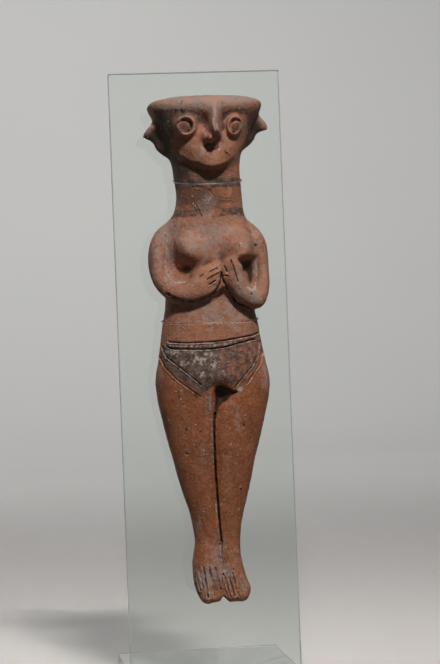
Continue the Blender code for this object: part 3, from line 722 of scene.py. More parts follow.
# Painted shade in the pockets under the nose and under the pubic mound, where their shadows fall.
NOSTRILS = Pocket(Area(((4.2, 193.4), (5.4, 194.1), (6.8, 193.3), (7.5, 191.8), (7.4, 190.2), (6.7, 189.0),
                        (6.4, 187.6), (5.6, 186.6), (3.8, 186.1), (1.6, 186.3), (0.0, 187.2), (-0.6, 188.6),
                        (0.2, 189.8), (1.6, 190.4), (3.2, 190.5), (3.8, 191.2), (3.9, 192.4))),
                  depth=0.9, soft=1.6, dark=0.45)
CROTCH = Pocket(Area(((-0.4, 76.0), (-0.1, 80.0), (0.2, 84.0), (0.1, 87.5), (1.0, 89.7), (3.0, 90.5),
                      (5.5, 89.2), (8.2, 87.9), (10.2, 87.0), (9.0, 85.9), (6.8, 84.8), (5.9, 83.8),
                      (5.2, 83.1), (3.4, 82.3), (2.2, 81.0), (1.4, 79.2), (0.6, 76.5))),
                depth=2.0, soft=1.5, dark=0.7)
POCKETS = (NOSTRILS, CROTCH)
TOE_ENDS = (Patch(-5.0, 1.6, 5.0, 1.6, 1.6), Patch(6.8, 2.2, 4.6, 1.8, 1.9), Patch(-1.2, 3.2, 1.4, 1.6, 0.8))
TOE_TIPS = (Patch(-1.2, 2.2, 1.9, 1.6, 1.3), Patch(11.8, 6.2, 1.6, 2.2, 0.7), Patch(3.2, 1.2, 1.6, 1.2, 0.6))
THIGHS = (
    Patch(4.0, 93.6, 6.5, 2.6, 0.45), Patch(4.4, 81.2, 3.6, 1.2, 0.5, 14.0), Patch(-1.2, 85.6, 1.1, 3.6, 1.1),
)
# Where the solid is smoothed first, and where the skin is marked
SMOOTHED_BREASTS = (Patch(-8.0, 143.0, 6.5, 7.0, 1.0, 0.0, 3.0), Patch(14.0, 146.0, 5.6, 6.0, 1.0, 0.0, 3.0))
SMOOTHED_EYES = (Patch(-7.2, 197.0, 5.8, 6.0, 1.0, 0.0, 4.0), Patch(13.0, 196.4, 4.6, 5.6, 1.0, 0.0, 4.0))
FACE = Patch(1.5, 194.0, 14.5, 14.5, 1.0, 0.0, 6.0)
NOSE_FRONT = Patch(5.2, 199.9, 2.5, 4.6, 1.0, 4.0, 3.0)
WORN_CHEST = Patch(2.0, 161.5, 3.6, 3.0, 1.0, 0.0, 2.0)
# Painted shade in the gaps between the eyes' rings and pellets, under the breasts, in the hollow between the
# right arm and forearm, beside the left arm's inner edge and under the nose.
SHADED_HOLLOWS = (
    Patch(-10.3, 198.9, 0.5, 1.1, 1.0, -40.0), Patch(-5.1, 197.6, 0.45, 1.9, 1.0, 8.0),
    Patch(-6.0, 195.3, 0.45, 0.8, 0.9, -45.0), Patch(15.2, 198.8, 0.45, 1.2, 1.0, 35.0),
    Patch(12.3, 194.0, 0.55, 0.8, 0.9, 45.0), Patch(-9.8, 140.8, 3.4, 2.2, 0.3, -30.0),
    Patch(16.0, 141.0, 2.8, 1.2, 0.4, 14.0), Patch(16.8, 136.2, 1.9, 4.6, 0.6),
    Patch(-17.8, 144.8, 0.3, 2.6, 0.5, 4.0), Patch(2.2, 183.4, 1.5, 2.4, 0.25, -8.0),
)
PELLET_STAIN = (Patch(-8.0, 196.9, 2.4, 2.4, 1.0, 0.0, 3.0), Patch(13.5, 195.8, 1.75, 2.3, 1.0, -18.0, 3.0))
# Soot, and painted shade: the head's shadow on the neck, and the shade along the left edges of the arm,
# waist, hip and thigh.
SOOT_AND_SHADE = (
    Patch(-17.0, 196.0, 3.8, 9.5, 0.85, 0.0, 1.6), Patch(-16.0, 186.5, 3.4, 6.0, 0.9, 28.0, 1.5),
    Patch(-22.0, 191.5, 3.4, 3.4, 1.0, -20.0), Patch(-2.0, 173.0, 14.0, 9.0, 0.62),
    Patch(0.0, 165.0, 15.0, 4.0, 0.4), Patch(-12.5, 179.0, 5.0, 7.0, 0.5, 0.0, 1.3),
    Patch(-12.8, 196.5, 1.8, 5.5, 0.6), Patch(-8.5, 180.5, 4.0, 3.0, 0.5, 30.0),
    Patch(-1.6, 199.0, 2.4, 2.6, 0.55, 30.0), Patch(20.8, 195.0, 3.2, 8.0, 0.85, 0.0, 1.5),
    Patch(17.4, 188.4, 1.8, 5.0, 0.7, -24.0), Patch(7.6, 199.8, 1.4, 1.6, 0.4),
    Patch(-21.6, 73.0, 2.6, 9.0, 0.8, -8.0), Patch(-23.6, 144.0, 1.5, 10.0, 0.35),
    Patch(-21.8, 190.0, 5.0, 4.0, 0.9), Patch(25.0, 193.0, 3.0, 2.5, 0.6), Patch(-23.0, 97.0, 1.6, 8.0, 0.4),
    Patch(-13.0, 18.0, 2.0, 8.0, 0.3), Patch(-1.8, 9.0, 1.8, 4.0, 0.4), Patch(-20.0, 122.0, 2.6, 4.0, 0.6),
)
# Dusty bloom, and painted highlights on the tops of the breasts and on the nose's ridge.
BLOOM_AND_HIGHLIGHTS = (
    Patch(0.0, 206.8, 24.0, 3.0, 1.3, 0.0, 1.8), Patch(4.9, 200.2, 1.8, 6.4, 1.5),
    Patch(-2.0, 206.4, 8.0, 2.8, 0.5), Patch(2.0, 154.0, 15.0, 6.0, 0.5), Patch(3.0, 148.0, 6.0, 6.0, 0.4),
    Patch(-20.6, 151.0, 4.5, 8.0, 0.6, -10.0), Patch(-21.0, 138.0, 3.5, 7.0, 0.3),
    Patch(12.6, 132.0, 3.5, 8.0, 0.4, 14.0), Patch(5.0, 120.0, 16.0, 9.0, 0.6),
    Patch(0.0, 165.4, 4.2, 4.4, 1.0, 12.0, 1.4), Patch(-15.0, 154.0, 4.0, 4.0, 0.6),
    Patch(-15.8, 142.0, 2.0, 8.0, 0.7), Patch(-6.4, 10.6, 4.8, 6.0, 1.2), Patch(-2.6, 3.0, 6.0, 2.6, 0.5),
    Patch(3.0, 12.4, 4.4, 4.6, 1.0), Patch(-1.4, 20.0, 3.2, 7.5, 0.9), Patch(9.6, 6.8, 2.4, 4.0, 0.8),
    Patch(2.0, 27.0, 1.5, 4.0, 0.7), Patch(6.5, 20.0, 2.5, 8.0, 0.5), Patch(0.8, 193.6, 1.2, 3.4, 0.7),
    Patch(8.0, 193.0, 1.1, 4.0, 0.8), Patch(-0.8, 186.5, 1.0, 4.6, 0.6), Patch(22.4, 157.0, 5.0, 4.0, 0.5),
    Patch(20.0, 150.0, 2.2, 7.0, 0.4), Patch(-22.4, 197.0, 2.8, 2.4, 1.3), Patch(23.2, 198.6, 2.2, 2.4, 0.9),
    Patch(-16.0, 104.0, 4.5, 5.0, 0.4), Patch(-5.0, 186.0, 4.0, 3.0, 0.2), Patch(17.6, 127.4, 3.4, 2.6, 0.6),
    Patch(21.6, 93.0, 2.2, 8.0, 1.0), Patch(-7.0, 147.6, 3.4, 3.0, 0.5), Patch(15.0, 146.8, 3.0, 2.4, 0.4),
    Patch(-8.0, 33.0, 1.8, 7.0, 0.8), Patch(-5.4, 60.0, 2.0, 20.0, 0.5), Patch(9.0, 76.0, 2.4, 9.0, 0.6),
    Patch(-14.0, 70.0, 2.2, 12.0, 0.5), Patch(4.6, 52.0, 1.8, 16.0, 0.5), Patch(-22.4, 94.0, 2.0, 7.0, 0.5),
    Patch(-6.0, 100.0, 7.0, 5.0, 0.35),
)
MOTTLED = (
    Patch(-16.6, 104.4, 3.4, 1.6, 0.8, -8.0), Patch(-5.4, 100.8, 3.6, 2.2, 0.85, -20.0),
    Patch(-1.0, 103.0, 3.2, 1.4, 0.7), Patch(-11.6, 99.6, 2.6, 2.0, 0.55), Patch(0.6, 98.6, 2.0, 2.4, 0.75),
    Patch(-4.6, 94.6, 2.6, 1.8, 0.6, 30.0), Patch(2.6, 101.6, 1.6, 2.2, 0.6),
    Patch(8.0, 102.6, 1.8, 1.2, 0.5), Patch(11.0, 88.6, 1.8, 1.4, 0.75), Patch(-8.6, 104.2, 2.6, 1.0, 0.7),
    Patch(15.6, 103.0, 1.4, 2.0, 0.4), Patch(-17.4, 101.0, 1.4, 1.6, 0.5), Patch(4.2, 95.4, 2.4, 1.2, 0.4),
    Patch(-9.4, 94.8, 1.6, 1.2, 0.45), Patch(0.4, 166.8, 2.6, 2.8, 0.5, 20.0),
    Patch(-8.4, 10.4, 1.9, 4.4, 0.7), Patch(-3.7, 12.9, 1.9, 2.4, 0.6), Patch(1.0, 13.6, 2.4, 1.6, 0.75),
    Patch(-1.2, 9.4, 1.0, 2.4, 0.5), Patch(9.2, 6.0, 1.5, 1.3, 0.6), Patch(4.2, 11.6, 1.9, 1.6, 0.45),
    Patch(-5.6, 8.6, 0.8, 3.0, 0.45), Patch(2.6, 8.2, 0.8, 3.0, 0.45, 12.0), Patch(-7.6, 15.2, 2.0, 0.9, 0.4),
    Patch(-3.2, 177.8, 3.2, 2.6, 0.3), Patch(-2.3, 82.0, 1.5, 6.0, 0.5), Patch(-1.4, 205.6, 5.0, 1.8, 0.35),
    Patch(-16.2, 151.2, 1.6, 2.4, 0.5, -30.0),
)


class Recipe:
    """A material's nodes, with a short call for each kind that the finishes use."""

    def __init__(self, name: str) -> None:
        """Start an empty material.

        Args:
            name: the material's name.
        """
        self.material = bpy.data.materials.new(name)
        self.material.use_nodes = True
        self.tree = self.material.node_tree
        self.shader = self.tree.nodes["Principled BSDF"]
        self.place = self.tree.nodes.new("ShaderNodeTexCoord").outputs["Object"]

    def feed(self, socket: bpy.types.NodeSocket, value: object) -> None:
        """Link a socket to another or give it a plain value.

        Args:
            socket: the input to feed.
            value: an output socket, a colour or a number.
        """
        if isinstance(value, bpy.types.NodeSocket):
            self.tree.links.new(value, socket)
        elif isinstance(value, tuple) and len(value) == 3 and socket.type == "RGBA":
            socket.default_value = (*value, 1.0)
        else:
            socket.default_value = value

    def mapped(self, location: Colour, scale: Colour) -> bpy.types.NodeSocket:
        """Move and scale the piece's own coordinates.

        Args:
            location: how far they move along x, y and z, in lumps.
            scale: how many lumps a metre holds along x, y and z.

        Returns:
            The coordinates.
        """
        node = self.tree.nodes.new("ShaderNodeMapping")
        node.inputs["Location"].default_value = location
        node.inputs["Scale"].default_value = scale
        self.feed(node.inputs["Vector"], self.place)
        return node.outputs["Vector"]

    def noise(self, size: float, detail: float = 3.0, roughness: float = 0.55, shift: float = 0.0,
              stretch: Colour = (1.0, 1.0, 1.0)) -> bpy.types.NodeSocket:
        """Cloudy noise.

        Args:
            size: the width of its lumps in metres.
            detail: how many finer layers it has.
            roughness: how strong the finer layers are.
            shift: a place in the noise, so that two of one size differ.
            stretch: how many times longer the lumps are along x, y and z.

        Returns:
            A value of 0 to 1, mostly near a half.
        """
        node = self.tree.nodes.new("ShaderNodeTexNoise")
        node.inputs["Scale"].default_value = 1.0
        node.inputs["Detail"].default_value = detail
        node.inputs["Roughness"].default_value = roughness
        scale = tuple(1.0 / (size * part) for part in stretch)
        self.feed(node.inputs["Vector"], self.mapped((shift, shift * 0.7, shift * 1.3), scale))
        return node.outputs["Fac"]

    def cells(self, size: float, shift: float) -> bpy.types.NodeSocket:
        """Scattered grains.

        Args:
            size: their spacing in metres.
            shift: a place in the pattern, so that two of them differ.

        Returns:
            The distance to the nearest grain, in shares of the spacing.
        """
        node = self.tree.nodes.new("ShaderNodeTexVoronoi")
        node.inputs["Scale"].default_value = 1.0
        self.feed(node.inputs["Vector"], self.mapped((shift, shift, shift), (1.0 / size,) * 3))
        return node.outputs["Distance"]

    def field(self, name: str) -> bpy.types.NodeSocket:
        """Read a value kept on the mesh.

        Args:
            name: the field's name.

        Returns:
            The value.
        """
        node = self.tree.nodes.new("ShaderNodeAttribute")
        node.attribute_name = name
        return node.outputs["Fac"]

    def span(self, value: object, low: float, high: float, to_low: float = 0.0,
             to_high: float = 1.0) -> bpy.types.NodeSocket:
        """Spread a value from one range to another, smoothly at both ends.

        Args:
            value: the socket to spread.
            low: where the range starts.
            high: where it ends.
            to_low: what its start becomes.
            to_high: what its end becomes.

        Returns:
            The spread value.
        """
        node = self.tree.nodes.new("ShaderNodeMapRange")
        node.interpolation_type = "SMOOTHSTEP"
        for key, number in (("From Min", low), ("From Max", high), ("To Min", to_low), ("To Max", to_high)):
            node.inputs[key].default_value = number
        self.feed(node.inputs["Value"], value)
        return node.outputs["Result"]

    def work(self, operation: str, a: object, b: object, clamp: bool = False) -> bpy.types.NodeSocket:
        """Work out two values.

        Args:
            operation: the Math node's operation.
            a: the first value.
            b: the second value.
            clamp: whether the result stays between 0 and 1.

        Returns:
            The result.
        """
        node = self.tree.nodes.new("ShaderNodeMath")
        node.operation = operation
        node.use_clamp = clamp
        self.feed(node.inputs[0], a)
        self.feed(node.inputs[1], b)
        return node.outputs["Value"]

    def plus(self, a: object, b: object) -> bpy.types.NodeSocket:
        """One value and another added up."""
        return self.work("ADD", a, b)

    def minus(self, a: object, b: object) -> bpy.types.NodeSocket:
        """One value less another."""
        return self.work("SUBTRACT", a, b)

    def times(self, a: object, b: object) -> bpy.types.NodeSocket:
        """One value times another."""
        return self.work("MULTIPLY", a, b)

    def blend(self, under: object, over: object, share: object) -> bpy.types.NodeSocket:
        """Lay one colour over another.

        Args:
            under: the colour below.
            over: the colour on top.
            share: how much of the top shows.

        Returns:
            The blended colour.
        """
        node = self.tree.nodes.new("ShaderNodeMix")
        node.data_type = "RGBA"
        self.feed(node.inputs[0], share)
        self.feed(node.inputs[6], under)
        self.feed(node.inputs[7], over)
        return node.outputs[2]

    def bump(self, height: object, depth: float, below: object = None) -> bpy.types.NodeSocket:
        """Fine relief.

        Args:
            height: a value of 0 to 1.
            depth: what 1 stands for in metres.
            below: the relief that this one is laid on.

        Returns:
            The bumped normal.
        """
        node = self.tree.nodes.new("ShaderNodeBump")
        node.inputs["Distance"].default_value = depth
        self.feed(node.inputs["Height"], height)
        if below is not None:
            self.feed(node.inputs["Normal"], below)
        return node.outputs["Normal"]


@dataclass(frozen=True)
class Grain:
    """What several layers of the clay's finish share: three noises and the height field."""

    middle: bpy.types.NodeSocket
    fine: bpy.types.NodeSocket
    streaks: bpy.types.NodeSocket
    upper: bpy.types.NodeSocket


@dataclass(frozen=True)
class FiredClay:
    """Matt orange-brown clay with dusty bloom, soot, worn dark paint and white lime crust, with painted shade
    laid in with the dirt and soot and painted highlights with the bloom and lime.
    """

    orange: Colour = (0.44, 0.144, 0.054)
    brown: Colour = (0.2, 0.068, 0.031)
    salmon: Colour = (0.52, 0.225, 0.132)
    # Bloom's colours, also laid as painted highlights.
    bloom_and_highlight: Colour = (0.54, 0.32, 0.25)
    grey_bloom_and_highlight: Colour = (0.42, 0.31, 0.275)
    paint: Colour = (0.06, 0.04, 0.035)
    faded_paint: Colour = (0.2, 0.135, 0.115)
    # Soot's colour, also laid as painted shade.
    soot_and_shade: Colour = (0.042, 0.033, 0.027)
    # Dirt's colour, also laid as painted shade in lines, pockets and hollows.
    dirt_and_shade: Colour = (0.022, 0.0105, 0.006)
    # Lime's colours, also laid as painted highlights on the lines' burrs.
    lime_and_highlight: Colour = (0.7, 0.56, 0.48)
    grey_lime_and_highlight: Colour = (0.3, 0.255, 0.245)
    bare: Colour = (0.53, 0.215, 0.105)
    pellet: Colour = (0.09, 0.046, 0.036)

    def body(self, r: Recipe, grain: Grain) -> bpy.types.NodeSocket:
        """Mottle the clay itself, browner and streaked on the legs, the browning partly painted shade for the
        light that falls off downwards.

        Args:
            r: the recipe that it is mixed in.
            grain: the shared noises.

        Returns:
            The clay's colour.
        """
        broad = r.noise(0.013, 4.0, 0.62, 1.7)
        legs = r.work("SUBTRACT", 1.0, grain.upper, True)
        skin = r.blend(self.orange, self.brown, r.span(broad, 0.4, 0.68, 0.0, 0.65))
        # Painted shade: the legs are darkened as the light falls off towards the feet.
        skin = r.blend(skin, self.brown, r.times(legs, 0.22))
        warm = r.times(r.span(grain.middle, 0.44, 0.62), r.plus(0.28, r.times(grain.upper, 0.5)))
        skin = r.blend(skin, self.salmon, warm)
        skin = r.blend(skin, self.brown, r.times(r.span(grain.streaks, 0.5, 0.68, 0.0, 0.4), legs))
        skin = r.blend(skin, self.salmon, r.times(r.span(grain.streaks, 0.45, 0.3, 0.0, 0.25), legs))
        skin = r.blend(skin, self.brown, r.span(grain.fine, 0.52, 0.64, 0.0, 0.6))
        return r.blend(skin, self.salmon, r.span(grain.fine, 0.47, 0.37, 0.0, 0.6))

    def bloom_and_highlight_share(self, r: Recipe, grain: Grain) -> bpy.types.NodeSocket:
        """Spread the dusty bloom, thickest above the waist, and the painted highlights.

        Args:
            r: the recipe that it is mixed in.
            grain: the shared noises.

        Returns:
            How much bloom and painted highlight covers the clay.
        """
        dust = r.noise(0.0025, 6.0, 0.72, 15.7)
        laid = r.plus(r.times(r.field("bloom_and_highlight"), 0.3), r.times(grain.upper, 0.12))
        return r.work("MAXIMUM", r.span(r.plus(dust, laid), 0.58, 0.86, 0.0, 0.9), r.times(grain.upper, 0.3))

    def dusted(self, r: Recipe, grain: Grain, skin: bpy.types.NodeSocket,
               share: bpy.types.NodeSocket) -> bpy.types.NodeSocket:
        """Lay bloom and painted highlights over the clay, bare it again at the flakes and blacken it with
        soot and painted shade.

        Args:
            r: the recipe that it is mixed in.
            grain: the shared noises.
            skin: the clay's colour.
            share: how much bloom and painted highlight covers it.

        Returns:
            The colour.
        """
        bloom_and_highlight = r.blend(self.bloom_and_highlight, self.grey_bloom_and_highlight, r.span(grain.middle, 0.4, 0.58))
        skin = r.blend(skin, bloom_and_highlight, share)
        skin = r.blend(skin, self.bare, r.span(r.field("flake"), -0.05, 0.25, 0.0, 0.85))
        # Soot, and the painted shade laid with it.
        soot_and_shade = r.plus(r.field("soot_and_shade"), r.times(r.minus(grain.middle, 0.5), 0.9))
        return r.blend(skin, self.soot_and_shade, r.span(soot_and_shade, 0.12, 0.95, 0.0, 0.93))

    def paint_cover(self, r: Recipe, grain: Grain) -> bpy.types.NodeSocket:
        """Wear the dark paint away in patches.

        Args:
            r: the recipe that it is mixed in.
            grain: the shared noises.

        Returns:
            How much paint is left.
        """
        ragged = r.plus(r.field("paint"), r.times(r.minus(grain.middle, 0.5), 3.2))
        patchy = r.plus(r.noise(0.0024, 5.0, 0.72, 21.0), r.times(grain.fine, 0.25))
        worn = r.minus(patchy, r.plus(0.2, r.times(r.field("wear"), 0.55)))
        return r.times(r.span(ragged, -0.3, 0.35), r.span(worn, 0.0, 0.16))

    def painted(self, r: Recipe, grain: Grain, skin: bpy.types.NodeSocket,
                cover: bpy.types.NodeSocket) -> bpy.types.NodeSocket:
        """Lay the worn paint and the eyes' dark pellets over the clay.

        Args:
            r: the recipe that it is mixed in.
            grain: the shared noises.
            skin: the dusted clay's colour.
            cover: how much paint is left.

        Returns:
            The colour.
        """
        fading = r.span(r.noise(0.0026, 4.0, 0.6, 31.0), 0.38, 0.66)
        skin = r.blend(skin, r.blend(self.paint, self.faded_paint, fading), r.times(cover, 0.92))
        stain = r.times(r.field("pellet"), r.span(grain.fine, 0.3, 0.7, 0.65, 1.0))
        return r.blend(skin, self.pellet, stain)

    def crusted_and_lit(self, r: Recipe, skin: bpy.types.NodeSocket) -> bpy.types.NodeSocket:
        """Lay speckled lime crust over the paint, and the painted highlights on the lines' burrs.

        Args:
            r: the recipe that it is mixed in.
            skin: the painted clay's colour.

        Returns:
            The colour.
        """
        lime_and_highlight = r.field("lime_and_highlight")
        speckle = r.minus(r.noise(0.0013, 5.0, 0.75, 41.0), 0.5)
        # Chalk and crust here carry the painted highlights on the lines' burrs too.
        chalk = r.plus(lime_and_highlight, r.times(speckle, r.plus(2.0, r.times(lime_and_highlight, 3.0))))
        crust = r.blend(self.grey_lime_and_highlight, self.lime_and_highlight, r.span(chalk, 0.55, 0.85))
        return r.blend(skin, crust, r.span(chalk, 0.34, 0.56, 0.0, 0.85))

    def make(self) -> bpy.types.Material:
        """Mix the finish.

        Returns:
            The material.
        """
        r = Recipe("fired_clay")
        grain = Grain(middle=r.noise(0.0042, 5.0, 0.66, 5.3), fine=r.noise(0.0009, 4.0, 0.75, 9.1),
                      streaks=r.noise(0.0015, 5.0, 0.64, 2.9, (1.0, 1.0, 11.0)), upper=r.field("upper"))
        bloom_and_highlight = self.bloom_and_highlight_share(r, grain)
        cover = self.paint_cover(r, grain)
        skin = self.dusted(r, grain, self.body(r, grain), bloom_and_highlight)
        skin = self.crusted_and_lit(r, self.painted(r, grain, skin, cover))
        in_clumps = r.span(r.noise(0.006, 2.0, 0.5, 51.0), 0.38, 0.5)
        grains = r.times(r.span(r.cells(0.0029, 3.0), 0.15, 0.07), in_clumps)
        skin = r.blend(skin, self.lime_and_highlight, r.times(grains, 0.9))
        in_groups = r.span(r.noise(0.007, 2.0, 0.5, 61.0), 0.44, 0.58)
        holes = r.times(r.span(r.cells(0.0034, 8.0), 0.14, 0.06), in_groups)
        # Dirt, and painted shade in the lines, pockets and hollows.
        grime_and_shade = r.plus(r.field("grime_and_shade"), r.times(r.minus(grain.middle, 0.5), 0.25))
        skin = r.blend(skin, self.dirt_and_shade, r.span(grime_and_shade, 0.16, 0.8, 0.0, 0.96))
        r.feed(r.shader.inputs["Base Color"], r.blend(skin, self.dirt_and_shade, r.times(holes, 0.7)))
        rough = r.plus(r.span(grain.fine, 0.3, 0.7, 0.52, 0.68), r.times(bloom_and_highlight, 0.12))
        r.feed(r.shader.inputs["Roughness"], r.work("ADD", rough, r.times(grain.upper, 0.06), True))
        relief = r.bump(r.noise(0.0028, 4.0, 0.6, 71.0), 0.0005)
        relief = r.bump(grain.streaks, 0.0004, relief)
        relief = r.bump(grain.fine, 0.00035, relief)
        relief = r.bump(r.minus(grains, holes), 0.00025, relief)
        r.feed(r.shader.inputs["Normal"], r.bump(cover, 0.00006, relief))
        r.shader.inputs["Specular IOR Level"].default_value = 0.35
        return r.material


@dataclass(frozen=True)
class ClearAcrylic:
    """Polished clear sheet with faint scratches and slightly milky sawn edges."""

    tint: Colour = (0.93, 0.965, 0.945)
    edge_tint: Colour = (0.80, 0.88, 0.84)
    ior: float = 1.49

    def make(self, name: str, broad_axis: str) -> bpy.types.Material:
        """Mix the finish.

        Args:
            name: the material's name.
            broad_axis: the axis that the sheet's broad faces look along.

        Returns:
            The material.
        """
        r = Recipe(name)
        parts = r.tree.nodes.new("ShaderNodeSeparateXYZ")
        r.feed(parts.inputs[0], r.tree.nodes.new("ShaderNodeNewGeometry").outputs["Normal"])
        broad = r.work("ABSOLUTE", parts.outputs[broad_axis], 0.0)
        edge = r.span(broad, 0.9, 0.5)
        r.feed(r.shader.inputs["Base Color"], r.blend(self.tint, self.edge_tint, edge))
        scratches = r.noise(0.004, 5.0, 0.7, 3.0, (1.0, 1.0, 9.0))
        rough = r.plus(r.span(scratches, 0.55, 0.75, 0.02, 0.07), r.times(edge, 0.16))
        r.feed(r.shader.inputs["Roughness"], rough)
        r.feed(r.shader.inputs["Normal"], r.bump(scratches, 0.00002))
        r.shader.inputs["Transmission Weight"].default_value = 1.0
        r.shader.inputs["IOR"].default_value = self.ior
        return r.material


@dataclass(frozen=True)
class NylonThread:
    """Nylon monofilament, half clear and dulled by dust."""

    grey: Colour = (0.2, 0.145, 0.12)
    pale: Colour = (0.36, 0.28, 0.24)

    def make(self) -> bpy.types.Material:
        """Mix the finish.

        Returns:
            The material.
        """
        r = Recipe("nylon_thread")
        along = r.noise(0.0022, 3.0, 0.6, 4.0)
        r.feed(r.shader.inputs["Base Color"], r.blend(self.grey, self.pale, r.span(along, 0.35, 0.65)))
        r.feed(r.shader.inputs["Roughness"], r.span(along, 0.3, 0.7, 0.34, 0.5))
        r.shader.inputs["Transmission Weight"].default_value = 0.6
        r.shader.inputs["IOR"].default_value = 1.53
        return r.material


@dataclass(frozen=True)
class PalePaper:
    """Pale matt paper for the studio's sweep."""

    colour: Colour = (0.5, 0.495, 0.48)
    shade: Colour = (0.46, 0.455, 0.445)

    def make(self) -> bpy.types.Material:
        """Mix the finish.

        Returns:
            The material.
        """
        r = Recipe("pale_paper")
        r.feed(r.shader.inputs["Base Color"], r.blend(self.colour, self.shade, r.noise(0.4, 3.0, 0.5)))
        r.shader.inputs["Roughness"].default_value = 0.95
        r.shader.inputs["Specular IOR Level"].default_value = 0.1
        return r.material


@dataclass
class Figurine:
    """The clay figure: its fine carving and its coloured places.

    The voxel and the depth that the face takes up are in metres. A band is the height of its middle
    and half its width. A start or an end is the pair of heights between which a finish comes in or
    goes out. Bands, starts and ends are in millimetres above the toes.
    """

    node: bpy.types.Object
    view: FrontView
    voxel: float = 0.00094
    face_depth: float = 0.012
    neck_band: Span = (172.8, 1.75)
    shoulder_band: Span = (160.8, 1.6)
    trunk_start: Span = (88.0, 122.0)
    neck_start: Span = (158.0, 164.0)
    neck_end: Span = (182.0, 176.0)
    face_end: Span = (204.0, 202.0)
    head_start: Span = (183.0, 188.0)
    head_end: Span = (206.0, 204.0)
    crown_start: Span = (205.5, 207.0)

    def mesh(self) -> bpy.types.Mesh:
        """A close, even copy of the figure's solid."""
        return modified(self.node.data, "REMESH", mode="VOXEL", voxel_size=self.voxel)

    def height(self, clay: Clay) -> np.ndarray:
        """How high each point stands above the toes, in millimetres."""
        return (clay.points[:, 2] - self.view.foot.z) / MM

    def turned_back(self, clay: Clay) -> np.ndarray:
        """From 0 on skin that faces the viewer or sideways to 1 on skin that faces away."""
        return np.clip(clay.normals @ np.array(self.view.look), 0.0, 1.0)

    def worked(self, seen: np.ndarray, margin: float) -> np.ndarray:
        """Where fine work lies.

        Args:
            seen: rows of x and z in millimetres.
            margin: how far round each line counts, in millimetres.

        Returns:
            True for each place near fine work.
        """
        near = np.zeros(len(seen), bool)
        for groove in (*DRAWN_LINES, *CRUST_LINES):
            near |= Line(groove.points).away(seen)[0] < margin + groove.half_width
        return near

    def soften(self, clay: Clay) -> None:
        """Smooth the solid's own breasts, eyes and lines, which are worked again finer.

        Args:
            clay: the even copy of the solid.
        """
        clay.relax(1.0, 6)
        seen, front = clay.seen, clay.fronting > 0.0
        clay.relax(0.9 * strongest(SMOOTHED_BREASTS, seen) * front, 60)
        smoothed = (*GIRDLE, *TRIANGLE, *LEFT_HAND)
        nearest = np.minimum.reduce([Line(groove.points).away(seen)[0] for groove in smoothed])
        lines = 0.8 * np.exp(-((nearest / 2.4) ** 4))
        clay.relax(np.maximum(strongest(SMOOTHED_EYES, seen), lines) * front, 45)

    def model(self, clay: Clay) -> None:
        """Model the breasts, jaw, toes, thighs and nose in finer clay.

        The nose's steep side folds as it is pushed out, so its front is smoothed well before its
        ridge is raised.

        Args:
            clay: the softened clay.
        """
        seen = clay.seen
        clay.refine(((FACE.weight(seen) > 0.4) | self.worked(seen, 1.2)) & (clay.fronting > 0.0))
        clay.push(BREASTS)
        clay.push(JAW)
        clay.push(TOE_ENDS)
        clay.push(TOE_TIPS, Way.ALONG_NORMAL)
        clay.push(THIGHS)
        depth = clay.points @ np.array(self.view.look)
        nose = NOSE_FRONT.weight(clay.seen) * (depth < depth.min() + self.face_depth)
        clay.push(NOSE)
        clay.relax(nose, 80)
        clay.push(NOSE_RIDGE)

    def draw(self, clay: Clay) -> None:
        """Set the eyes, sink the hollows and draw every line.

        Args:
            clay: the modelled clay.
        """
        seen = clay.seen
        features = np.maximum.reduce([*(eye.oval().reach(seen) < 1.35 for eye in EYES),
                                      *(pocket.area.inside(seen) > -0.9 for pocket in POCKETS)])
        clay.refine((features | self.worked(seen, 0.45)) & (clay.fronting > 0.0))
        clay.relax(0.4, 2)
        clay.move(sum(eye.rise(clay.seen) for eye in EYES), Way.TO_VIEWER)
        for pocket in POCKETS:
            clay.move(-pocket.depth * pocket.share(clay.seen), Way.TO_VIEWER)
        clay.relax(0.35, 1)
        clay.press((*GIRDLE, *TRIANGLE, *LEG_SLIT))
        clay.press((*CREASES, *LEFT_HAND, *RIGHT_HAND))
        clay.press(TOES, 0.5)
        clay.press((*CRACKS, *ENCRUSTED), 0.4)

    def weather(self, clay: Clay) -> None:
        """Pit and flake the skin and leave it as uneven as a hand does.

        Args:
            clay: the drawn clay.
        """
        clay.push(tuple(pit.patch(-pit.depth) for pit in PITS), Way.ALONG_NORMAL)
        flaked = sum(np.clip(area.inside(clay.seen) / 0.25, 0.0, 1.0) for area in FLAKES)
        clay.move(-0.22 * flaked, Way.ALONG_NORMAL)
        broad, small = 0.16 * clay.ripple(0.009, 3.1), 0.07 * clay.ripple(0.0034, 7.7)
        strokes = 0.05 * clay.ripple(0.0016, 5.5, 6.0)
        clay.points += clay.normals * ((broad + small + strokes) * MM)[:, None]
        clay.turn_normals()

    def mark_paint(self, clay: Clay, pelvis: np.ndarray, brows: np.ndarray) -> None:
        """Mark where the dark paint lies and how worn it is.

        Args:
            clay: the shaped clay.
            pelvis: how far inside the painted triangle each point lies, in millimetres.
            brows: how far inside the painted brows each point lies, in millimetres.
        """
        height = self.height(clay)
        bands = [half - np.abs(height - middle) for middle, half in (self.neck_band, self.shoulder_band)]
        clay.field("paint", np.clip(np.maximum.reduce([*bands, pelvis, brows]), -3.0, 3.0))
        wear = 0.34 + 0.5 * WORN_CHEST.weight(clay.seen) * clay.fronting
        wear += (pelvis > -1.0) * (0.04 + 0.24 * ramp(clay.seen[:, 0], -1.0, 6.0))
        wear += 0.16 * (np.abs(height - self.shoulder_band[0]) < 3.0) + 0.16 * (brows > -1.0)
        clay.field("wear", wear)

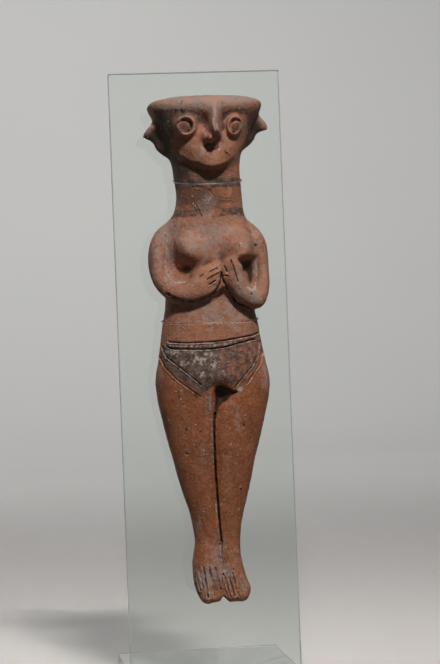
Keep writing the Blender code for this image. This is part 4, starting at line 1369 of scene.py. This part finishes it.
    def mark_grime_and_shade(self, clay: Clay, hollow: np.ndarray) -> None:
        """Mark the dirt and the painted shade in lines, pockets, hollows and pits.

        Args:
            clay: the shaped clay.
            hollow: how far each point lies below the skin round it, in millimetres.
        """
        seen = clay.seen
        grime_and_shade = np.zeros(len(seen))
        for groove in DRAWN_LINES:
            line = soft_line(Line(groove.points).away(seen)[0], 0.7 * groove.half_width)
            grime_and_shade = np.maximum(grime_and_shade, 0.9 * groove.dirt_and_shade * line)
        uneven = np.clip(0.9 + 1.3 * clay.ripple(0.0014, 4.4), 0.25, 1.2)
        # Along the slit the darkening, dirt and painted shade, is kept even.
        in_slit = (seen[:, 1] > 26.0) & (seen[:, 1] < 84.0) & (np.abs(seen[:, 0]) < 2.5)
        grime_and_shade *= np.where(in_slit, 1.0, uneven)
        for pocket in POCKETS:
            grime_and_shade = np.maximum(grime_and_shade, pocket.dark * pocket.share(seen))
        for patch in (*SHADED_HOLLOWS, *(pit.patch(pit.dark, 1.1) for pit in PITS)):
            grime_and_shade = np.maximum(grime_and_shade, patch.weight(seen))
        # Deeper hollows are darkened too, partly dirt and partly painted shade.
        clay.field("grime_and_shade", grime_and_shade * clay.fronting + np.clip(hollow * 2.2, 0.0, 0.6))

    def mark_lime_and_highlights(self, clay: Clay, hollow: np.ndarray, pelvis: np.ndarray) -> None:
        """Mark the lime crust, also on the burrs beside the toes' lines, and the painted highlights on the
        burrs beside the girdle's and the triangle's lines.

        Args:
            clay: the shaped clay.
            hollow: how far each point lies below the skin round it, in millimetres.
            pelvis: how far inside the painted triangle each point lies, in millimetres.
        """
        seen = clay.seen
        lime_and_highlight = 0.14 * ramp(pelvis, -0.5, 1.5)
        for groove in ENCRUSTED:
            line = soft_line(Line(groove.points).away(seen)[0], 1.25 * groove.half_width)
            lime_and_highlight = np.maximum(lime_and_highlight, groove.dirt_and_shade * line)
        for groove in TOES:
            away = Line(groove.points).away(seen)[0]
            rim = soft_line(away, 0.9 * groove.half_width, 2.2 * groove.half_width)
            lime_and_highlight = np.maximum(lime_and_highlight, 0.5 * rim)
        uneven = np.clip(0.9 + 1.5 * clay.ripple(0.0019, 2.2), 0.35, 1.3)
        # Painted highlights on the lit burrs beside the girdle's and the triangle's lines.
        for groove in (*GIRDLE, *TRIANGLE):
            away, side = Line(groove.points).away(seen)
            rim = soft_line(away, 0.65 * groove.half_width, 1.8 * groove.half_width)
            lime_and_highlight = np.maximum(lime_and_highlight, 0.8 * rim * uneven * (side == groove.burr_side.value))
        for patch in (*MOTTLED, *(pit.patch(1.3 * pit.pale, 1.1) for pit in PITS)):
            lime_and_highlight = np.maximum(lime_and_highlight, patch.weight(seen))
        clay.field("lime_and_highlight", lime_and_highlight * clay.fronting + np.clip(-hollow * 0.8, 0.0, 0.12))

    def mark_soot_and_shade(self, clay: Clay) -> None:
        """Mark the soot, on the head also behind, the painted shadow of the head on the neck, the painted
        shade along the left edges, and the eyes' stained pellets.

        Args:
            clay: the shaped clay.
        """
        seen, front, height = clay.seen, clay.fronting, self.height(clay)
        clay.field("pellet", together(PELLET_STAIN, seen) * front)
        head = ramp(height, *self.head_start) * ramp(height, *self.head_end)
        sideways = 1.0 - np.minimum(np.abs(clay.normals @ np.array(self.view.look)), 1.0)
        behind = 0.75 * sideways * (1.0 - front) + 0.55 * self.turned_back(clay)
        clay.field("soot_and_shade", np.clip(together(SOOT_AND_SHADE, seen) * front + head * behind, 0.0, 1.3))

    def mark_bloom_and_highlights(self, clay: Clay) -> None:
        """Mark the dusty bloom, also on the eyes' rings, the crown and the back, and the painted highlights
        on the breasts and the nose's ridge.

        Args:
            clay: the shaped clay.
        """
        seen, height = clay.seen, self.height(clay)
        rings = sum(soft_line(eye.oval().reach(seen), 0.22, 1.0) for eye in EYES)
        bloom_and_highlight = (together(BLOOM_AND_HIGHLIGHTS, seen) + 0.8 * rings) * clay.fronting
        crown = ramp(height, *self.crown_start) * np.clip(clay.normals[:, 2] * 2.0, 0.0, 1.0)
        clay.field("bloom_and_highlight", np.clip(bloom_and_highlight + 0.8 * crown + 0.3 * self.turned_back(clay), 0.0, 1.4))

    def mark_body(self, clay: Clay) -> None:
        """Mark the upper body, with the neck and the face partly, and the fresh flakes.

        Args:
            clay: the shaped clay.
        """
        height, front = self.height(clay), clay.fronting > 0.2
        barer = ramp(height, *self.face_end) + ramp(height, *self.neck_end)
        barer = 0.25 * barer * ramp(height, *self.neck_start)
        # The upper field also sets the painted shade that darkens the legs below it.
        clay.field("upper", ramp(height, *self.trunk_start) - barer)
        flakes = np.maximum.reduce([area.inside(clay.seen) for area in FLAKES])
        clay.field("flake", np.where(front, flakes, -1.0))

    def colour(self, clay: Clay) -> None:
        """Mark every coloured place, keeping the painted areas off the back.

        Args:
            clay: the shaped clay.
        """
        off_front = -14.0 * (1.0 - ramp(clay.fronting, 0.0, 1.0 / 3.0))
        pelvis = PELVIS_PAINT.inside(clay.seen) + off_front
        brows = np.maximum(*(area.inside(clay.seen) for area in BROW_PAINT)) + off_front
        # How far each point lies below its smoothed neighbours: the hollows get dirt and painted shade, the
        # ridges paler wear.
        calm = clay.points
        for _ in range(5):
            calm = clay.means(calm)
        hollow = np.einsum("ij,ij->i", calm - clay.points, clay.normals) / MM
        self.mark_paint(clay, pelvis, brows)
        self.mark_grime_and_shade(clay, hollow)
        self.mark_lime_and_highlights(clay, hollow, pelvis)
        self.mark_soot_and_shade(clay)
        self.mark_bloom_and_highlights(clay)
        self.mark_body(clay)

    def build(self) -> bpy.types.Object:
        """Make the finished figure in the place of its node.

        Returns:
            The figure.
        """
        clay = Clay(self.mesh(), self.view)
        for step in (self.soften, self.model, self.draw, self.weather, self.colour):
            step(clay)
        mesh = clay.mesh
        mesh.name = "carved_figurine"
        mesh.polygons.foreach_set("use_smooth", np.ones(len(mesh.polygons), bool))
        mesh.materials.clear()
        mesh.materials.append(FiredClay().make())
        figure = bpy.data.objects.new("carved_figurine", mesh)
        bpy.context.scene.collection.objects.link(figure)
        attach(figure, "root")
        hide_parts(self.node.name)
        mesh.calc_loop_triangles()
        LOG.info("carved_figurine: %d triangles", len(mesh.loop_triangles))
        return figure


@dataclass
class ClearStand:
    """The clear sheet, its foot and the two threads, as the solids have them."""

    nodes: dict[str, bpy.types.Object]

    def dress(self, name: str, material: bpy.types.Material) -> None:
        """Give one solid its finish.

        Args:
            name: the node's name.
            material: its finish.
        """
        self.nodes[name].data.materials.clear()
        self.nodes[name].data.materials.append(material)
        self.nodes[name].visible_shadow = False
        LOG.info("%s: %s", name, material.name)

    def build(self) -> None:
        """Dress the sheet, the foot and the threads."""
        acrylic = ClearAcrylic()
        self.dress("back_sheet", acrylic.make("clear_sheet_acrylic", "Y"))
        self.dress("foot_plate", acrylic.make("clear_foot_acrylic", "Z"))
        thread = NylonThread().make()
        self.dress("neck_tie", thread)
        self.dress("waist_tie", thread)


@dataclass
class Studio:
    """A pale paper sweep all round, a high soft key light, weak fills, and lamps for the paper alone."""

    middle: Vector
    reach: float = 2.6
    corner: float = 0.9
    wall: float = 2.4
    turns: int = 96
    bends: int = 12
    white: Colour = (1.0, 1.0, 1.0)
    warm_white: Colour = (1.0, 0.98, 0.96)
    lamp_yellow: Colour = (1.0, 0.955, 0.9)
    sky: Colour = (1.0, 0.99, 0.975)
    sky_strength: float = 0.024

    def sweep(self) -> bpy.types.Object:
        """The floor, curving up into a round wall.

        Returns:
            The sweep.
        """
        rows = [(0.001, 0.0), (0.5 * self.reach, 0.0)]
        for step in range(self.bends + 1):
            angle = math.radians(90.0 * step / self.bends)
            out = self.reach - self.corner + self.corner * math.sin(angle)
            rows.append((out, self.corner * (1.0 - math.cos(angle))))
        rows.append((self.reach, self.wall))
        bm = bmesh.new()
        rings = []
        for radius, z in rows:
            ring = []
            for turn in range(self.turns):
                angle = 2.0 * math.pi * turn / self.turns
                x = self.middle.x + radius * math.cos(angle)
                ring.append(bm.verts.new((x, self.middle.y + radius * math.sin(angle), z)))
            rings.append(ring)
        bm.faces.new(rings[0])
        for low, high in zip(rings, rings[1:]):
            for turn in range(self.turns):
                after = (turn + 1) % self.turns
                bm.faces.new((low[turn], low[after], high[after], high[turn]))
        for face in bm.faces:
            face.smooth = True
        mesh = bpy.data.meshes.new("paper_sweep")
        bm.to_mesh(mesh)
        bm.free()
        mesh.materials.append(PalePaper().make())
        sweep = bpy.data.objects.new("paper_sweep", mesh)
        bpy.context.scene.collection.objects.link(sweep)
        sweep.visible_diffuse = False
        return sweep

    def light(self, name: str, place: Vector, aim: Vector, size: float, power: float, colour: Colour,
              spread: float = 180.0) -> bpy.types.Object:
        """Hang a soft round light.

        Args:
            name: its name.
            place: where it hangs.
            aim: the point that it faces.
            size: its width.
            power: its power in watts.
            colour: its colour.
            spread: the whole angle of its beam, in degrees.

        Returns:
            The lamp.
        """
        data = bpy.data.lights.new(name, "AREA")
        data.spread = math.radians(spread)
        data.shape = "DISK"
        data.size = size
        data.energy = power
        data.color = colour
        lamp = bpy.data.objects.new(name, data)
        turned = (aim - place).to_track_quat("-Z", "Y").to_matrix().to_4x4()
        lamp.matrix_world = Matrix.Translation(place) @ turned
        bpy.context.scene.collection.objects.link(lamp)
        return lamp

    def build(self) -> None:
        """Set up the sweep, the lights and the sky."""
        paper_only = bpy.data.collections.new("paper_only")
        paper_only.objects.link(self.sweep())
        chest = self.middle + Vector((0.0, 0.0, 0.17))
        over_head = chest + Vector((0.12, -0.765, 0.79))
        self.light("key_light", over_head, chest, 0.12, 0.9, self.lamp_yellow, 60.0)
        self.light("left_fill", chest + Vector((-1.0, -1.0, 0.3)), chest, 0.7, 0.02, self.warm_white, 40.0)
        self.light("right_fill", chest + Vector((1.1, -0.7, 0.6)), chest, 0.6, 0.025, self.warm_white, 40.0)
        self.light("back_fill", chest + Vector((-0.7, 1.2, 0.6)), chest, 0.8, 0.12, self.warm_white, 40.0)
        above = self.middle + Vector((0.0, 0.5, 2.3))
        lamps = [self.light("floor_light", above, self.middle, 1.6, 24.0, self.white)]
        ways = (("back", 0.0, 1.0), ("front", 0.0, -1.0), ("left", -1.0, 0.0), ("right", 1.0, 0.0))
        for name, x, y in ways:
            place = self.middle + Vector((0.7 * x, 0.7 * y, 2.1))
            wall = self.middle + Vector((2.2 * x, 2.2 * y, 0.9))
            lamps.append(self.light(f"{name}_wall_light", place, wall, 0.8, 20.0, self.white, 110.0))
        for lamp in lamps:
            lamp.light_linking.receiver_collection = paper_only
        world = bpy.data.worlds.new("soft_sky")
        world.use_nodes = True
        background = world.node_tree.nodes["Background"]
        background.inputs["Color"].default_value = (*self.sky, 1.0)
        background.inputs["Strength"].default_value = self.sky_strength
        bpy.context.scene.world = world
        bpy.context.scene.view_settings.view_transform = "Standard"


def main() -> None:
    """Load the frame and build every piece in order."""
    logging.basicConfig(level=logging.INFO, format="%(name)s %(message)s")
    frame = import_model()
    low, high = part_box("figurine")
    sheet_low, sheet_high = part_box("back_sheet")
    sheet_middle = (sheet_low.x + sheet_high.x) / 2
    foot = Vector((sheet_middle + 0.0013, high.y - 0.015, low.z - 0.0008))
    view = FrontView(foot)
    bpy.context.scene.camera = view.camera()
    Figurine(frame["nodes"]["figurine"], view).build()
    ClearStand(frame["nodes"]).build()
    Studio(Vector((sheet_middle, 0.0, 0.0))).build()


if __name__ == "__main__":
    main()
